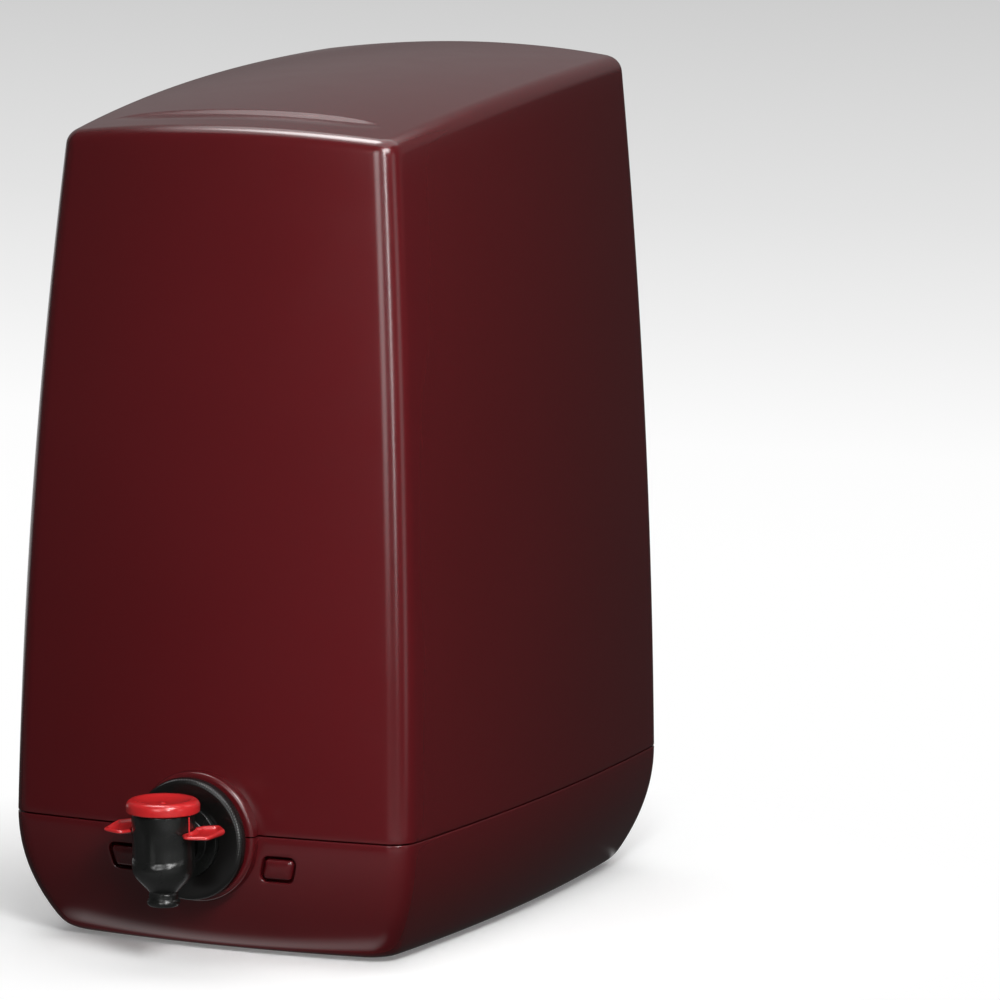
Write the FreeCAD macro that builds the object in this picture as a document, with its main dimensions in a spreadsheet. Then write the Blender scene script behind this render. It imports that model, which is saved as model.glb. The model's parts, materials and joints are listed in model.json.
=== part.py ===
"""Bag-in-box wine dispenser: a glossy hood hinged on a hull-shaped base, two front latches and a push tap.

Frame: +Z up, +X to the right seen from the front, the front faces -Y. The origin lies on the floor
under the middle of the housing. Lengths are in millimetres.
"""
import FreeCAD, Part
import math
import os

import Sketcher

os.makedirs("parts", exist_ok=True)
doc = FreeCAD.newDocument("dispenser")
V = FreeCAD.Vector
TO_PLUS_Y = FreeCAD.Rotation(V(1, 0, 0), -90)
TO_PLUS_X = FreeCAD.Rotation(V(0, 1, 0), 90)
TOUCH = 0.001  # points nearer than this are one point

# ------------------------------------------------------------------ driving dimensions
SIZES = [
    # housing, as half widths and as distances from the middle to the front and rear corners;
    # the crown is the plan that lies above the highest place of the roof
    ("seamHeight", 49.8), ("waistHeight", 180.6), ("crownHeight", 5.2),
    ("seamHalfWidth", 84.5), ("waistHalfWidth", 80.1), ("crownHalfWidth", 66.8),
    ("seamFront", 120.5), ("waistFront", 113.1), ("crownFront", 97.2),
    ("seamRear", 120.5), ("waistRear", 120.7), ("crownRear", 121.0),
    ("faceBulge", 5.2), ("sideBulge", 5.8), ("cornerRadius", 10), ("wall", 3), ("seamGap", 0.5),
    # roof: heights of its front and rear corners, and its crown along and across
    ("roofFront", 101.3), ("roofRear", 121), ("roofFrontHeight", 311.4), ("roofRearHeight", 332.2),
    ("roofArch", 4.2), ("roofDome", 4.9), ("roofHalfWidth", 70.4), ("roofEdge", 7),
    ("dentHalfLength", 57), ("dentFront", 83), ("dentWidth", 17), ("dentDepth", 1.3),
    # hull of the base
    ("footStand", 1.5), ("hullInset", 14.4), ("hullPower", 2.1), ("hullTurn", 4.6), ("hullTurnPower", 36),
    ("floorThickness", 3),
    ("lipHeight", 4), ("lipThickness", 1.6), ("lipGap", 0.3), ("lipBand", 6),
    # feet
    ("footRadius", 8), ("footThickness", 3), ("footAcross", 46), ("footAlong", 82), ("footGap", 0.1),
    # collar and tap disc
    ("discHeight", 48.2), ("discFront", 136.5), ("discRim", 4.5), ("discRadius", 23.5),
    ("discPlate", 2.5), ("hubRadius", 21.2), ("hubWall", 2), ("hubBack", 112), ("hubGap", 0.3),
    ("collarWall", 3.5), ("collarGap", 2.3), ("collarRound", 1.6), ("collarBack", 113),
    ("collarInner", 118),
    ("keyPlace", 116), ("keyThickness", 2), ("keyDepth", 1.4), ("keyGap", 0.2), ("keyDrop", 3),
    # gland of the bag
    ("glandRadius", 13.9), ("glandWall", 2.65), ("glandBack", 108), ("glandFlange", 19.5),
    ("glandFlangeThickness", 2), ("glandGap", 0.2), ("glandRing", 16.5),
    # tap; its axis stands this far in front of the disc
    ("tapReach", 18), ("barrelRadius", 11.9), ("barrelWall", 1.4), ("barrelTop", 61.9),
    ("funnelTop", 40.5), ("funnelRadius", 12.1), ("spoutTop", 30.5), ("spoutLip", 6.5), ("spoutBead", 1),
    ("spoutBottom", 26.4), ("spoutBore", 4.3), ("spoutNeckRound", 1.4),
    ("neckRadius", 9.5), ("neckBore", 7.5), ("tapCollarRadius", 14), ("tapCollarThickness", 2.5),
    ("tapCollarGap", 0.3), ("plugRadius", 11.2),
    ("seatHeight", 40), ("seatThickness", 2), ("seatBore", 6), ("seatLand", 0.6), ("ledgeInside", 56.5),
    ("ledgeBore", 9.6),
    # push button of the tap
    ("buttonRadius", 14), ("buttonTop", 67.2), ("buttonThickness", 4.9), ("buttonDish", 2.6),
    ("buttonEdge", 2.2), ("buttonRim", 0.5), ("buttonSkirt", 1.4), ("pressTravel", 3), ("pressGap", 0.1),
    ("nubRadius", 1), ("nubRise", 0.5), ("webThickness", 1.4),
    ("bossRadius", 3), ("stemRadius", 2.2), ("stemShoulder", 3.2), ("sealRadius", 7.2),
    ("sealThickness", 2.2), ("stemTail", 1.4), ("fineGap", 0.05), ("domeThickness", 0.8),
    # finger wings
    ("wingTop", 56.5), ("wingThickness", 2.6), ("wingRootDepth", 5.2), ("wingGap", 0.1),
    ("wingShoulder", 13.8), ("wingShoulderFront", 9.3), ("wingTip", 22.3), ("wingTipFront", 6.2),
    ("wingSide", 22.9), ("wingSideRear", 6.5), ("wingCorner", 17.9), ("wingCornerRear", 12.9),
    ("wingNeck", 12.2), ("wingNeckRear", 8.8), ("wingRound", 2), ("wingEdge", 0.9),
    ("wingDish", 0.9), ("wingDishRadius", 16), ("wingDishRear", 1.2),
    ("tongueWidth", 6), ("tongueThickness", 1.4), ("bridgeRadius", 0.3), ("bridgeClearance", 0.6),
    ("bridgeFirst", 2), ("bridgeSecond", 5),
    # latches
    ("latchAcross", 32.5), ("latchHeight", 37), ("latchHalfWidth", 6.2), ("latchHalfHeight", 4.3),
    ("latchLean", 0.27), ("latchGap", 0.8), ("latchProud", 0.5), ("latchRound", 1.8),
    ("latchFlange", 1.4), ("flangeFront", 118.6),
    ("flangeThickness", 1.5), ("hookFront", 116), ("hookThickness", 2.5), ("hookHalfWidth", 5),
    ("hookBottom", 31), ("hookTop", 62), ("noseHeight", 3.5), ("noseReach", 3), ("hookGap", 0.3),
    ("ledgeOverlap", 2.2), ("ledgeThickness", 3), ("plungerRadius", 2.4), ("plungerBack", 97),
    ("plungerGap", 0.15), ("guideFront", 103), ("guideThickness", 3), ("guideHalfWidth", 7.5),
    ("guideTop", 44), ("guideFoot", 13), ("guideBoss", 9.5), ("springRadius", 3.6), ("springWire", 0.7),
    ("springTurns", 5), ("latchScrewDepth", 6),
    # rear hinges
    ("hingeAcross", 45), ("hingePlace", 130.6), ("knuckleRadius", 5.5), ("hoodKnuckle", 12),
    ("baseKnuckle", 6), ("knuckleGap", 0.3), ("pinRadius", 2.5), ("pinGap", 0.05), ("pinHead", 3.6),
    ("pinHeadThickness", 1.2), ("webHeight", 17),
    # cradle under the bag
    ("cradleFront", 90), ("cradleRear", 102), ("cradleHalfWidth", 70), ("cradleFloor", 23.5),
    ("cradleSlope", 0.14), ("cradleThickness", 2.5), ("cradleRim", 9), ("cradleWall", 2.5),
    ("cradleNotch", 27), ("screwAcross", 56), ("screwFront", 72), ("screwRear", 80), ("postRadius", 5),
    ("postTop", 13.5), ("screwRadius", 1.75), ("screwHead", 3.4), ("screwHeadHeight", 2.2),
    ("screwGap", 0.05), ("screwGrip", 3), ("screwDepth", 9),
    # wine bag
    ("bagShoulder", 150), ("bagShoulderFront", 66), ("bagTop", 236), ("bagTopFront", -30),
    ("bagTopRear", 88), ("bagTopHalfWidth", 40), ("bagCorner", 22), ("bagGap", 0.4), ("bagBulge", 3),
    ("bagLean", 2), ("noseBack", 70), ("noseRadius", 30),
]

sheet = doc.addObject("Spreadsheet::Sheet", "sizes")
for row, (alias, number) in enumerate(SIZES, start=1):
    sheet.set("A%d" % row, alias)
    sheet.set("B%d" % row, str(number))
    sheet.setAlias("B%d" % row, alias)
doc.recompute()


class Length:
    """A length with the expression that ties it to the sheet, and its present value."""

    def __init__(self, text, value):
        self.text = text
        self.value = value

    @staticmethod
    def of(other):
        return other if isinstance(other, Length) else Length("(%s)" % other, float(other))

    def _join(self, sign, other, value):
        return Length("(%s %s %s)" % (self.text, sign, other.text), value)

    def __add__(self, other):
        other = Length.of(other)
        return self._join("+", other, self.value + other.value)

    def __sub__(self, other):
        other = Length.of(other)
        return self._join("-", other, self.value - other.value)

    def __mul__(self, other):
        other = Length.of(other)
        return self._join("*", other, self.value * other.value)

    def __truediv__(self, other):
        other = Length.of(other)
        return self._join("/", other, self.value / other.value)

    def __pow__(self, other):
        other = Length.of(other)
        return self._join("^", other, self.value ** other.value)

    def __radd__(self, other):
        return Length.of(other) + self

    def __rsub__(self, other):
        return Length.of(other) - self

    def __neg__(self):
        return Length("(0 - %s)" % self.text, -self.value)

    def root(self):
        return Length("sqrt(%s)" % self.text, math.sqrt(self.value))

    def or_more(self, other):
        """This length or the other, whichever is more."""
        return Length("max(%s; %s)" % (self.text, other.text), max(self.value, other.value))


class Sizes:
    """The sheet's cells as lengths: S.wall is the cell with the alias wall."""

    def __getattr__(self, alias):
        return Length("sizes.%s" % alias, float(sheet.get(alias)))


S = Sizes()
ZERO = Length.of(0)


def tie(obj, prop, length):
    obj.setExpression(prop, Length.of(length).text)


def place(obj, x=0, y=0, z=0, rotation=None):
    """Put an object at x, y, z, which may be lengths of the sheet."""
    if rotation:
        obj.Placement = FreeCAD.Placement(V(), rotation)
    for axis, length in zip("xyz", (x, y, z)):
        tie(obj, "Placement.Base.%s" % axis, length)
    return obj


# ------------------------------------------------------------------ solids and booleans
def box(name, x, y, z):
    """A box from pairs of lowest and highest coordinates."""
    solid = doc.addObject("Part::Box", name)
    for prop, (low, high) in zip(("Length", "Width", "Height"), (x, y, z)):
        tie(solid, prop, Length.of(high) - low)
    return place(solid, x[0], y[0], z[0])


def rod(name, radius, low, high, across=0, other=0, axis="z"):
    """A cylinder from low to high along an axis. across is x, or y for axis x; other is the rest."""
    solid = doc.addObject("Part::Cylinder", name)
    tie(solid, "Radius", radius)
    tie(solid, "Height", Length.of(high) - low)
    if axis == "z":
        return place(solid, across, other, low)
    if axis == "y":
        return place(solid, across, low, other, TO_PLUS_Y)
    return place(solid, low, across, other, TO_PLUS_X)


def fuse(name, solids):
    joined = doc.addObject("Part::MultiFuse", name)
    joined.Shapes = solids
    joined.Refine = True
    return joined


def cut(name, base, tools):
    result = doc.addObject("Part::Cut", name)
    result.Base = base
    result.Tool = tools[0] if len(tools) == 1 else fuse(name + "Tools", tools)
    return result


def common(name, first, second):
    result = doc.addObject("Part::Common", name)
    result.Base = first
    result.Tool = second
    return result


PIECES = []


def piece(solid, label):
    """Name a finished sub-part. Its file takes this name."""
    solid.Label = label
    PIECES.append(solid)
    return solid


# ------------------------------------------------------------------ sketches and bodies
def new_body(name):
    return doc.addObject("PartDesign::Body", name)


def new_sketch(body, name, plane, offset=ZERO, height=None):
    """A sketch on one of the body's own origin planes, moved along the plane's normal."""
    sketch = body.newObject("Sketcher::SketchObject", name)
    origin_plane = next(f for f in body.Origin.OriginFeatures if f.Role == plane)
    sketch.AttachmentSupport = (origin_plane, [""])
    sketch.MapMode = "FlatFace"
    tie(sketch, "AttachmentOffset.Base.z", offset)
    if height is not None:
        tie(sketch, "AttachmentOffset.Base.y", height)
    return sketch


def constrain(sketch, rules):
    """Add constraints given as (arguments, length or None), and tie those with a length."""
    start = len(sketch.Constraints)
    made = []
    for arguments, length in rules:
        values = () if length is None else (length.value,)
        made.append(Sketcher.Constraint(*arguments, *values))
    sketch.addConstraint(made)
    for index, (arguments, length) in enumerate(rules, start=start):
        if length is not None:
            sketch.setExpression("Constraints[%d]" % index, length.text)


def arc_between(start, end, radius):
    """The arc from start to end; a positive radius turns left, a negative one turns right."""
    chord = end - start
    middle = (start + end) * 0.5
    reach = math.sqrt(radius * radius - chord.Length ** 2 / 4)
    left = V(-chord.y, chord.x, 0).normalize()
    centre = middle + left * math.copysign(reach, radius)
    first, last = (start, end) if radius > 0 else (end, start)
    angles = [math.atan2(p.y - centre.y, p.x - centre.x) for p in (first, last)]
    return Part.ArcOfCircle(Part.Circle(centre, V(0, 0, 1), abs(radius)), *angles)


def draw_outline(sketch, corners, arcs=None):
    """A closed outline through corners; arcs gives the signed radius of the side that leaves a corner."""
    arcs = arcs or {}
    corners = [(Length.of(a), Length.of(b)) for a, b in corners]
    points = [V(a.value, b.value, 0) for a, b in corners]
    base = sketch.GeometryCount
    ends = []
    for index, start in enumerate(points):
        end = points[(index + 1) % len(points)]
        radius = arcs.get(index)
        if radius is None:
            sketch.addGeometry(Part.LineSegment(start, end), False)
        else:
            sketch.addGeometry(arc_between(start, end, radius.value), False)
        ends.append((2, 1) if radius is not None and radius.value < 0 else (1, 2))
    rules = []
    for index, (across, up) in enumerate(corners):
        following = (index + 1) % len(corners)
        here, there = base + index, base + following
        rules.append((("Coincident", here, ends[index][1], there, ends[following][0]), None))
        rules.append((("DistanceX", -1, 1, here, ends[index][0]), across))
        rules.append((("DistanceY", -1, 1, here, ends[index][0]), up))
    for index, radius in arcs.items():
        size = radius if radius.value > 0 else -radius
        rules.append((("Radius", base + index), size))
    constrain(sketch, rules)


def extrude(body, sketch, length):
    pad = body.newObject("PartDesign::Pad", sketch.Name + "Pad")
    pad.Profile = sketch
    tie(pad, "Length", length)
    return pad


def prism(name, plane, low, high, corners, arcs=None):
    """A body with an outline pushed from low to high along x (YZ), y (XZ) or z (XY)."""
    body = new_body(name)
    offset = -Length.of(high) if plane == "XZ_Plane" else Length.of(low)
    sketch = new_sketch(body, name + "Outline", plane, offset)
    draw_outline(sketch, corners, arcs)
    extrude(body, sketch, Length.of(high) - low)
    return body


def turned(name, corners, arcs=None, y=0, z=0, along="z"):
    """A body turned from an outline of radius and place along its axis, which is z or y."""
    body = new_body(name)
    sketch = new_sketch(body, name + "Outline", "XZ_Plane")
    draw_outline(sketch, corners, arcs)
    turn = body.newObject("PartDesign::Revolution", name + "Turn")
    turn.Profile = sketch
    turn.ReferenceAxis = (sketch, ["V_Axis"])
    turn.Angle = 360
    return place(body, 0, y, z, TO_PLUS_Y if along == "y" else None)


def fillet(body, chosen, radius):
    """Round those edges of the body's tip for which chosen(edge) is true."""
    doc.recompute()
    tip = body.Tip
    names = ["Edge%d" % (i + 1) for i, edge in enumerate(tip.Shape.Edges) if chosen(edge)]
    if not names:
        raise RuntimeError("no edges to round on %s" % body.Name)
    rounding = body.newObject("PartDesign::Fillet", body.Name + "Fillet%d" % len(body.Group))
    rounding.Base = (tip, names)
    tie(rounding, "Radius", radius)
    return rounding


def runs_along(edge, axis):
    """Whether an edge leads from its first to its last point along an axis."""
    span = edge.Vertexes[-1].Point - edge.Vertexes[0].Point
    return span.Length > TOUCH and abs(span.normalize().dot(axis)) > 0.999


# ------------------------------------------------------------------ plan of the housing
class Plan:
    """The housing's outline at one height: half width, front and rear corners."""

    def __init__(self, height, half_width, front, rear, shrink=ZERO):
        self.height = height
        self.half_width = half_width - shrink
        self.front = front - shrink
        self.rear = rear - shrink


def draw_plan(sketch, plan, inset, corner, face_bulge, side_bulge):
    """Four bulged sides joined by four round corners, all tangent. inset moves it in evenly."""
    half_depth = (plan.front + plan.rear) / 2
    face_radius = (plan.half_width * plan.half_width + face_bulge * face_bulge) / (face_bulge * 2) - inset
    side_radius = (half_depth * half_depth + side_bulge * side_bulge) / (side_bulge * 2) - inset
    corner_radius = corner - inset
    front_y = face_radius + inset - plan.front - face_bulge
    rear_y = plan.rear + face_bulge - face_radius - inset
    side_x = plan.half_width + side_bulge - side_radius - inset
    side_y = (plan.rear - plan.front) / 2
    sides = [(ZERO, front_y, face_radius), (side_x, side_y, side_radius),
             (ZERO, rear_y, face_radius), (-side_x, side_y, side_radius)]
    centres = [V(x.value, y.value, 0) for x, y, radius in sides]
    radii = [radius.value for x, y, radius in sides]
    round_radius = corner_radius.value
    signs = [(1, -1), (1, 1), (-1, 1), (-1, -1)]
    rounds = []
    for index, sign in enumerate(signs):
        first, second = index, (index + 1) % 4
        rounds.append(meeting_point(centres[first], radii[first] - round_radius,
                                    centres[second], radii[second] - round_radius, sign))
    def toward(centre, point):
        return math.atan2(point.y - centre.y, point.x - centre.x)
    for index in range(4):
        before, after = rounds[index - 1], rounds[index]
        side, following = centres[index], centres[(index + 1) % 4]
        circle = Part.Circle(side, V(0, 0, 1), radii[index])
        sketch.addGeometry(Part.ArcOfCircle(circle, toward(side, before), toward(side, after)), False)
        circle = Part.Circle(after, V(0, 0, 1), round_radius)
        sketch.addGeometry(Part.ArcOfCircle(circle, toward(side, after), toward(following, after)), False)
    rules = [(("Tangent", i, 2, (i + 1) % 8, 1), None) for i in range(8)]
    for index, (x, y, radius) in enumerate(sides):
        if x is ZERO:
            rules.append((("PointOnObject", 2 * index, 3, -2), None))
        else:
            rules.append((("DistanceX", -1, 1, 2 * index, 3), x))
        rules.append((("DistanceY", -1, 1, 2 * index, 3), y))
        rules.append((("Radius", 2 * index), radius))
        rules.append((("Radius", 2 * index + 1), corner_radius))
    constrain(sketch, rules)


def meeting_point(first, first_radius, second, second_radius, sign):
    """The point on both circles that lies in the quarter given by sign."""
    apart = second - first
    distance = apart.Length
    along = (first_radius ** 2 - second_radius ** 2 + distance ** 2) / (2 * distance)
    off = math.sqrt(first_radius ** 2 - along ** 2)
    unit = apart / distance
    foot = first + unit * along
    options = [foot + V(-unit.y, unit.x, 0) * off, foot - V(-unit.y, unit.x, 0) * off]
    return max(options, key=lambda point: point.x * sign[0] + point.y * sign[1])


def lofted(name, plans, inset=ZERO, corner=S.cornerRadius, face_bulge=S.faceBulge, side_bulge=S.sideBulge):
    """A body lofted through plans, lowest first."""
    body = new_body(name)
    sketches = []
    for index, plan in enumerate(plans):
        sketch = new_sketch(body, "%sPlan%d" % (name, index), "XY_Plane", plan.height)
        draw_plan(sketch, plan, inset, corner, face_bulge, side_bulge)
        sketches.append(sketch)
    loft = body.newObject("PartDesign::AdditiveLoft", name + "Loft")
    loft.Profile = sketches[0]
    loft.Sections = sketches[1:]
    loft.Ruled = False
    return body


# ------------------------------------------------------------------ hood
hood_bottom = S.seamHeight + S.seamGap / 2
base_top = S.seamHeight - S.seamGap / 2
face_front = S.seamFront + S.faceBulge
face_rear = S.seamRear + S.faceBulge
roof_run = S.roofFront + S.roofRear
roof_rise = S.roofRearHeight - S.roofFrontHeight
roof_chord = (roof_run * roof_run + roof_rise * roof_rise).root()
roof_radius = (roof_chord * roof_chord / 4 + S.roofArch * S.roofArch) / (S.roofArch * 2)
roof_hub = (roof_radius - S.roofArch) / roof_chord
roof_axis_y = (S.roofRear - S.roofFront) / 2 + roof_rise * roof_hub
roof_axis_z = (S.roofFrontHeight + S.roofRearHeight) / 2 - roof_run * roof_hub
dome_radius = (S.roofHalfWidth * S.roofHalfWidth + S.roofDome * S.roofDome) / (S.roofDome * 2)
roof_top = S.roofRearHeight.or_more(S.roofFrontHeight) + S.roofArch + S.roofDome
crown_height = roof_top + S.crownHeight
ROOF_SWEEP = 30


def hood_form(name, inset):
    """The hood's outer form, or with an inset the space inside it."""
    plans = [Plan(hood_bottom, S.seamHalfWidth, S.seamFront, S.seamRear),
             Plan(S.waistHeight, S.waistHalfWidth, S.waistFront, S.waistRear),
             Plan(crown_height, S.crownHalfWidth, S.crownFront, S.crownRear)]
    body = lofted(name, plans, inset)
    sketch = new_sketch(body, name + "RoofOutline", "XZ_Plane", -roof_axis_y, roof_axis_z)
    reach = S.seamHalfWidth * 1.5
    apex = roof_radius + S.roofDome - inset
    bend = dome_radius - inset
    edge_height = apex - bend + (bend * bend - reach * reach).root()
    over = apex + crown_height / 4
    draw_outline(sketch, [(reach, edge_height), (reach, over), (-reach, over), (-reach, edge_height)],
                 {3: -bend})
    groove = body.newObject("PartDesign::Groove", name + "Roof")
    groove.Profile = sketch
    groove.ReferenceAxis = (sketch, ["H_Axis"])
    groove.Angle = ROOF_SWEEP
    groove.Midplane = True
    doc.recompute()
    roof = max(groove.Shape.Faces, key=lambda face: face.CenterOfMass.z)
    rim = roof.OuterWire.Edges
    fillet(body, lambda edge: any(edge.isSame(other) for other in rim), S.roofEdge - inset)
    return body


def make_collar(name, low, high, back):
    """The half collar behind the tap disc's rim, between two heights, with a rounded front edge."""
    radius = S.hubRadius + S.hubGap + S.collarWall
    front = -(S.discFront - S.discRim - S.collarGap)
    whole = turned(name + "Ring",
                   [(ZERO, front), (radius - S.collarRound, front), (radius, front + S.collarRound),
                    (radius, -back), (ZERO, -back)],
                   {1: S.collarRound}, z=S.discHeight, along="y")
    half = box(name + "Half", (-radius * 2, radius * 2), (-S.discFront * 2, ZERO), (low, high))
    return common(name, whole, half)


def make_hood():
    outer = hood_form("hoodOuter", ZERO)
    inner = hood_form("hoodInner", S.wall)
    below = extrude(inner, doc.getObject("hoodInnerPlan0"), S.lipHeight)
    below.Reversed = True
    shell = cut("hoodShell", outer, [inner])
    collar = make_collar("hoodCollar", hood_bottom, S.seamHeight * 2, S.collarInner)
    additions = [shell, collar]
    for side, name in ((-1, "Left"), (1, "Right")):
        additions.append(make_strike("strike" + name, side))
        additions.append(hinge_lug("hoodLug" + name, side, S.hoodKnuckle, ZERO, 1))
    tools = [rod("hoodBore", S.hubRadius + S.hubGap, -S.discFront, -S.hubBack, 0, S.discHeight, "y"),
             roof_dent()]
    for side, name in ((-1, "Left"), (1, "Right")):
        tools.append(pin_hole("hoodPinHole" + name, side))
    return piece(cut("hoodFinal", fuse("hoodJoined", additions), tools), "hood")


def roof_dent():
    """The long hollow across the front of the roof. It follows the dome and runs out at both ends."""
    apex = roof_radius + S.roofDome
    along = -S.dentFront - roof_axis_y
    up = (apex * apex - along * along).root()
    sag = S.dentWidth / 2
    tube = (sag * sag + S.dentDepth * S.dentDepth) / (S.dentDepth * 2)
    reach = (apex + tube - S.dentDepth) / apex
    drop = S.dentHalfLength * S.dentHalfLength / (dome_radius * 2) - S.dentDepth
    bend = (S.dentHalfLength * S.dentHalfLength + drop * drop) / (drop * 2)
    ring = doc.addObject("Part::Torus", "roofDent")
    tie(ring, "Radius1", bend + tube)
    tie(ring, "Radius2", tube)
    return place(ring, 0, roof_axis_y + along * reach, roof_axis_z + up * reach - bend - tube, TO_PLUS_Y)


def make_strike(name, side):
    """The ledge inside the hood's front wall that a latch hook holds down."""
    top = strike_top()
    edge = S.hookFront + S.noseReach - S.ledgeOverlap
    wall_face = face_front - S.wall / 2 - S.faceBulge / 4
    middle = S.latchAcross * side
    return box(name, (middle - S.hookHalfWidth, middle + S.hookHalfWidth), (-wall_face, -edge),
               (top - S.ledgeThickness, top))


def strike_top():
    return S.hookTop - S.noseHeight - S.hookGap


# ------------------------------------------------------------------ rear hinges
def hinge_lug(name, side, width, shift, up):
    """A knuckle with its web. up is 1 for the hood's, which reaches up the wall, and -1 for the base's."""
    middle = S.hingeAcross * side + shift
    low, high = middle - width / 2, middle + width / 2
    knuckle = rod(name + "Knuckle", S.knuckleRadius, low, high, S.hingePlace, S.seamHeight, "x")
    near = S.seamGap / 2
    slant = S.knuckleRadius * 0.7
    root_y = face_rear - S.faceBulge / 2 - S.wall / 2
    far_root = root_y if up > 0 else root_y - S.wall * 0.9
    gap_y = S.hingePlace - S.knuckleRadius * 0.9
    corners = [(root_y, S.seamHeight + near * up), (far_root, S.seamHeight + S.webHeight * up),
               (S.hingePlace + slant, S.seamHeight + slant * up), (S.hingePlace, S.seamHeight),
               (gap_y, S.seamHeight + near * up)]
    web = prism(name + "Web", "YZ_Plane", low, high, corners)
    return fuse(name, [knuckle, web])


def hinge_span():
    return S.hoodKnuckle / 2 + S.knuckleGap + S.baseKnuckle


def pin_hole(name, side):
    middle = S.hingeAcross * side
    reach = hinge_span() + S.knuckleGap
    return rod(name, S.pinRadius + S.pinGap, middle - reach, middle + reach, S.hingePlace, S.seamHeight, "x")


def make_hinge_pin(name, side):
    middle = S.hingeAcross * side
    shank = rod(name + "Shank", S.pinRadius, middle - hinge_span(), middle + hinge_span(),
                S.hingePlace, S.seamHeight, "x")
    heads = [shank]
    for end, mark in ((-1, "A"), (1, "B")):
        near = middle + hinge_span() * end
        far = near + S.pinHeadThickness * end
        low, high = (near, far) if end > 0 else (far, near)
        heads.append(rod(name + "Head" + mark, S.pinHead, low, high, S.hingePlace, S.seamHeight, "x"))
    return piece(fuse(name + "Solid", heads), name)


# ------------------------------------------------------------------ base
HULL_STEPS = 9


def hull_inset(height):
    """How far the hull has drawn in at a height below the seam. It turns in fast close to the bottom."""
    down = (S.seamHeight - height) / (S.seamHeight - S.footStand)
    return S.hullInset * (down ** S.hullPower) + S.hullTurn * (down ** S.hullTurnPower)


def hull_plans(bottom):
    """Plans from the bottom height up to the top of the base, closer together near the bottom."""
    plans = []
    for step in range(HULL_STEPS + 1):
        height = bottom + (base_top - bottom) * (step / HULL_STEPS) ** 2
        plans.append(Plan(height, S.seamHalfWidth, S.seamFront, S.seamRear, hull_inset(height)))
    return plans


def hull_front(across, height):
    """How far in front of the middle the hull's face lies, at a place across and a height."""
    share = across / S.seamHalfWidth
    return S.seamFront + S.faceBulge - S.faceBulge * share * share - hull_inset(height)


def make_lip():
    """The rim inside the base's top edge that centres the hood."""
    body = new_body("baseLip")
    plan = Plan(ZERO, S.seamHalfWidth, S.seamFront, S.seamRear)
    inner = S.wall + S.lipGap + S.lipThickness
    for name, outer, low, high in (("lipBandRing", S.wall / 2, base_top - S.lipBand, base_top),
                                   ("lipRing", S.wall + S.lipGap, base_top - S.lipBand,
                                    base_top + S.lipHeight)):
        sketch = new_sketch(body, name, "XY_Plane", low)
        draw_plan(sketch, plan, outer, S.cornerRadius, S.faceBulge, S.sideBulge)
        extrude(body, sketch, high - low)
    sketch = new_sketch(body, "lipHole", "XY_Plane", base_top - S.lipBand - S.wall)
    draw_plan(sketch, plan, inner, S.cornerRadius, S.faceBulge, S.sideBulge)
    pocket = body.newObject("PartDesign::Pocket", "lipPocket")
    pocket.Profile = sketch
    pocket.Reversed = True
    tie(pocket, "Length", S.lipBand + S.lipHeight + S.wall * 2)
    reach = S.hubRadius + S.hubGap + S.collarWall + S.lipGap * 4
    gap = box("lipCollarGap", (-reach, reach), (-face_front * 2, -S.seamFront / 2),
              (base_top, S.seamHeight * 2))
    return cut("lipCut", body, [gap])


def post(name, x, y, top):
    """A boss that stands on the floor of the base."""
    return rod(name, S.postRadius, S.footStand + S.floorThickness / 2, top, x, y)


SCREW_PLACES = [("FrontLeft", -1, -1), ("FrontRight", 1, -1), ("RearLeft", -1, 1), ("RearRight", 1, 1)]


def screw_y(end):
    return S.screwRear if end > 0 else -S.screwFront


def latch_corners(grow):
    """The leaning outline of a latch button, seen from the front, for the right-hand side."""
    half_width = S.latchHalfWidth + grow
    half_height = S.latchHalfHeight + grow
    lean = half_height * S.latchLean
    return [(-half_width - lean, -half_height), (half_width - lean, -half_height),
            (half_width + lean, half_height), (-half_width + lean, half_height)]


def latch_prism(name, side, grow, front, back):
    """The latch outline pushed from the front plane to the back plane."""
    corners = latch_corners(grow)
    if side < 0:
        corners = [(-x, z) for x, z in reversed(corners)]
    body = prism(name, "XZ_Plane", -front, -back, corners)
    fillet(body, lambda edge: runs_along(edge, V(0, 1, 0)), S.latchRound + grow)
    return place(body, S.latchAcross * side, 0, S.latchHeight)


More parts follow.
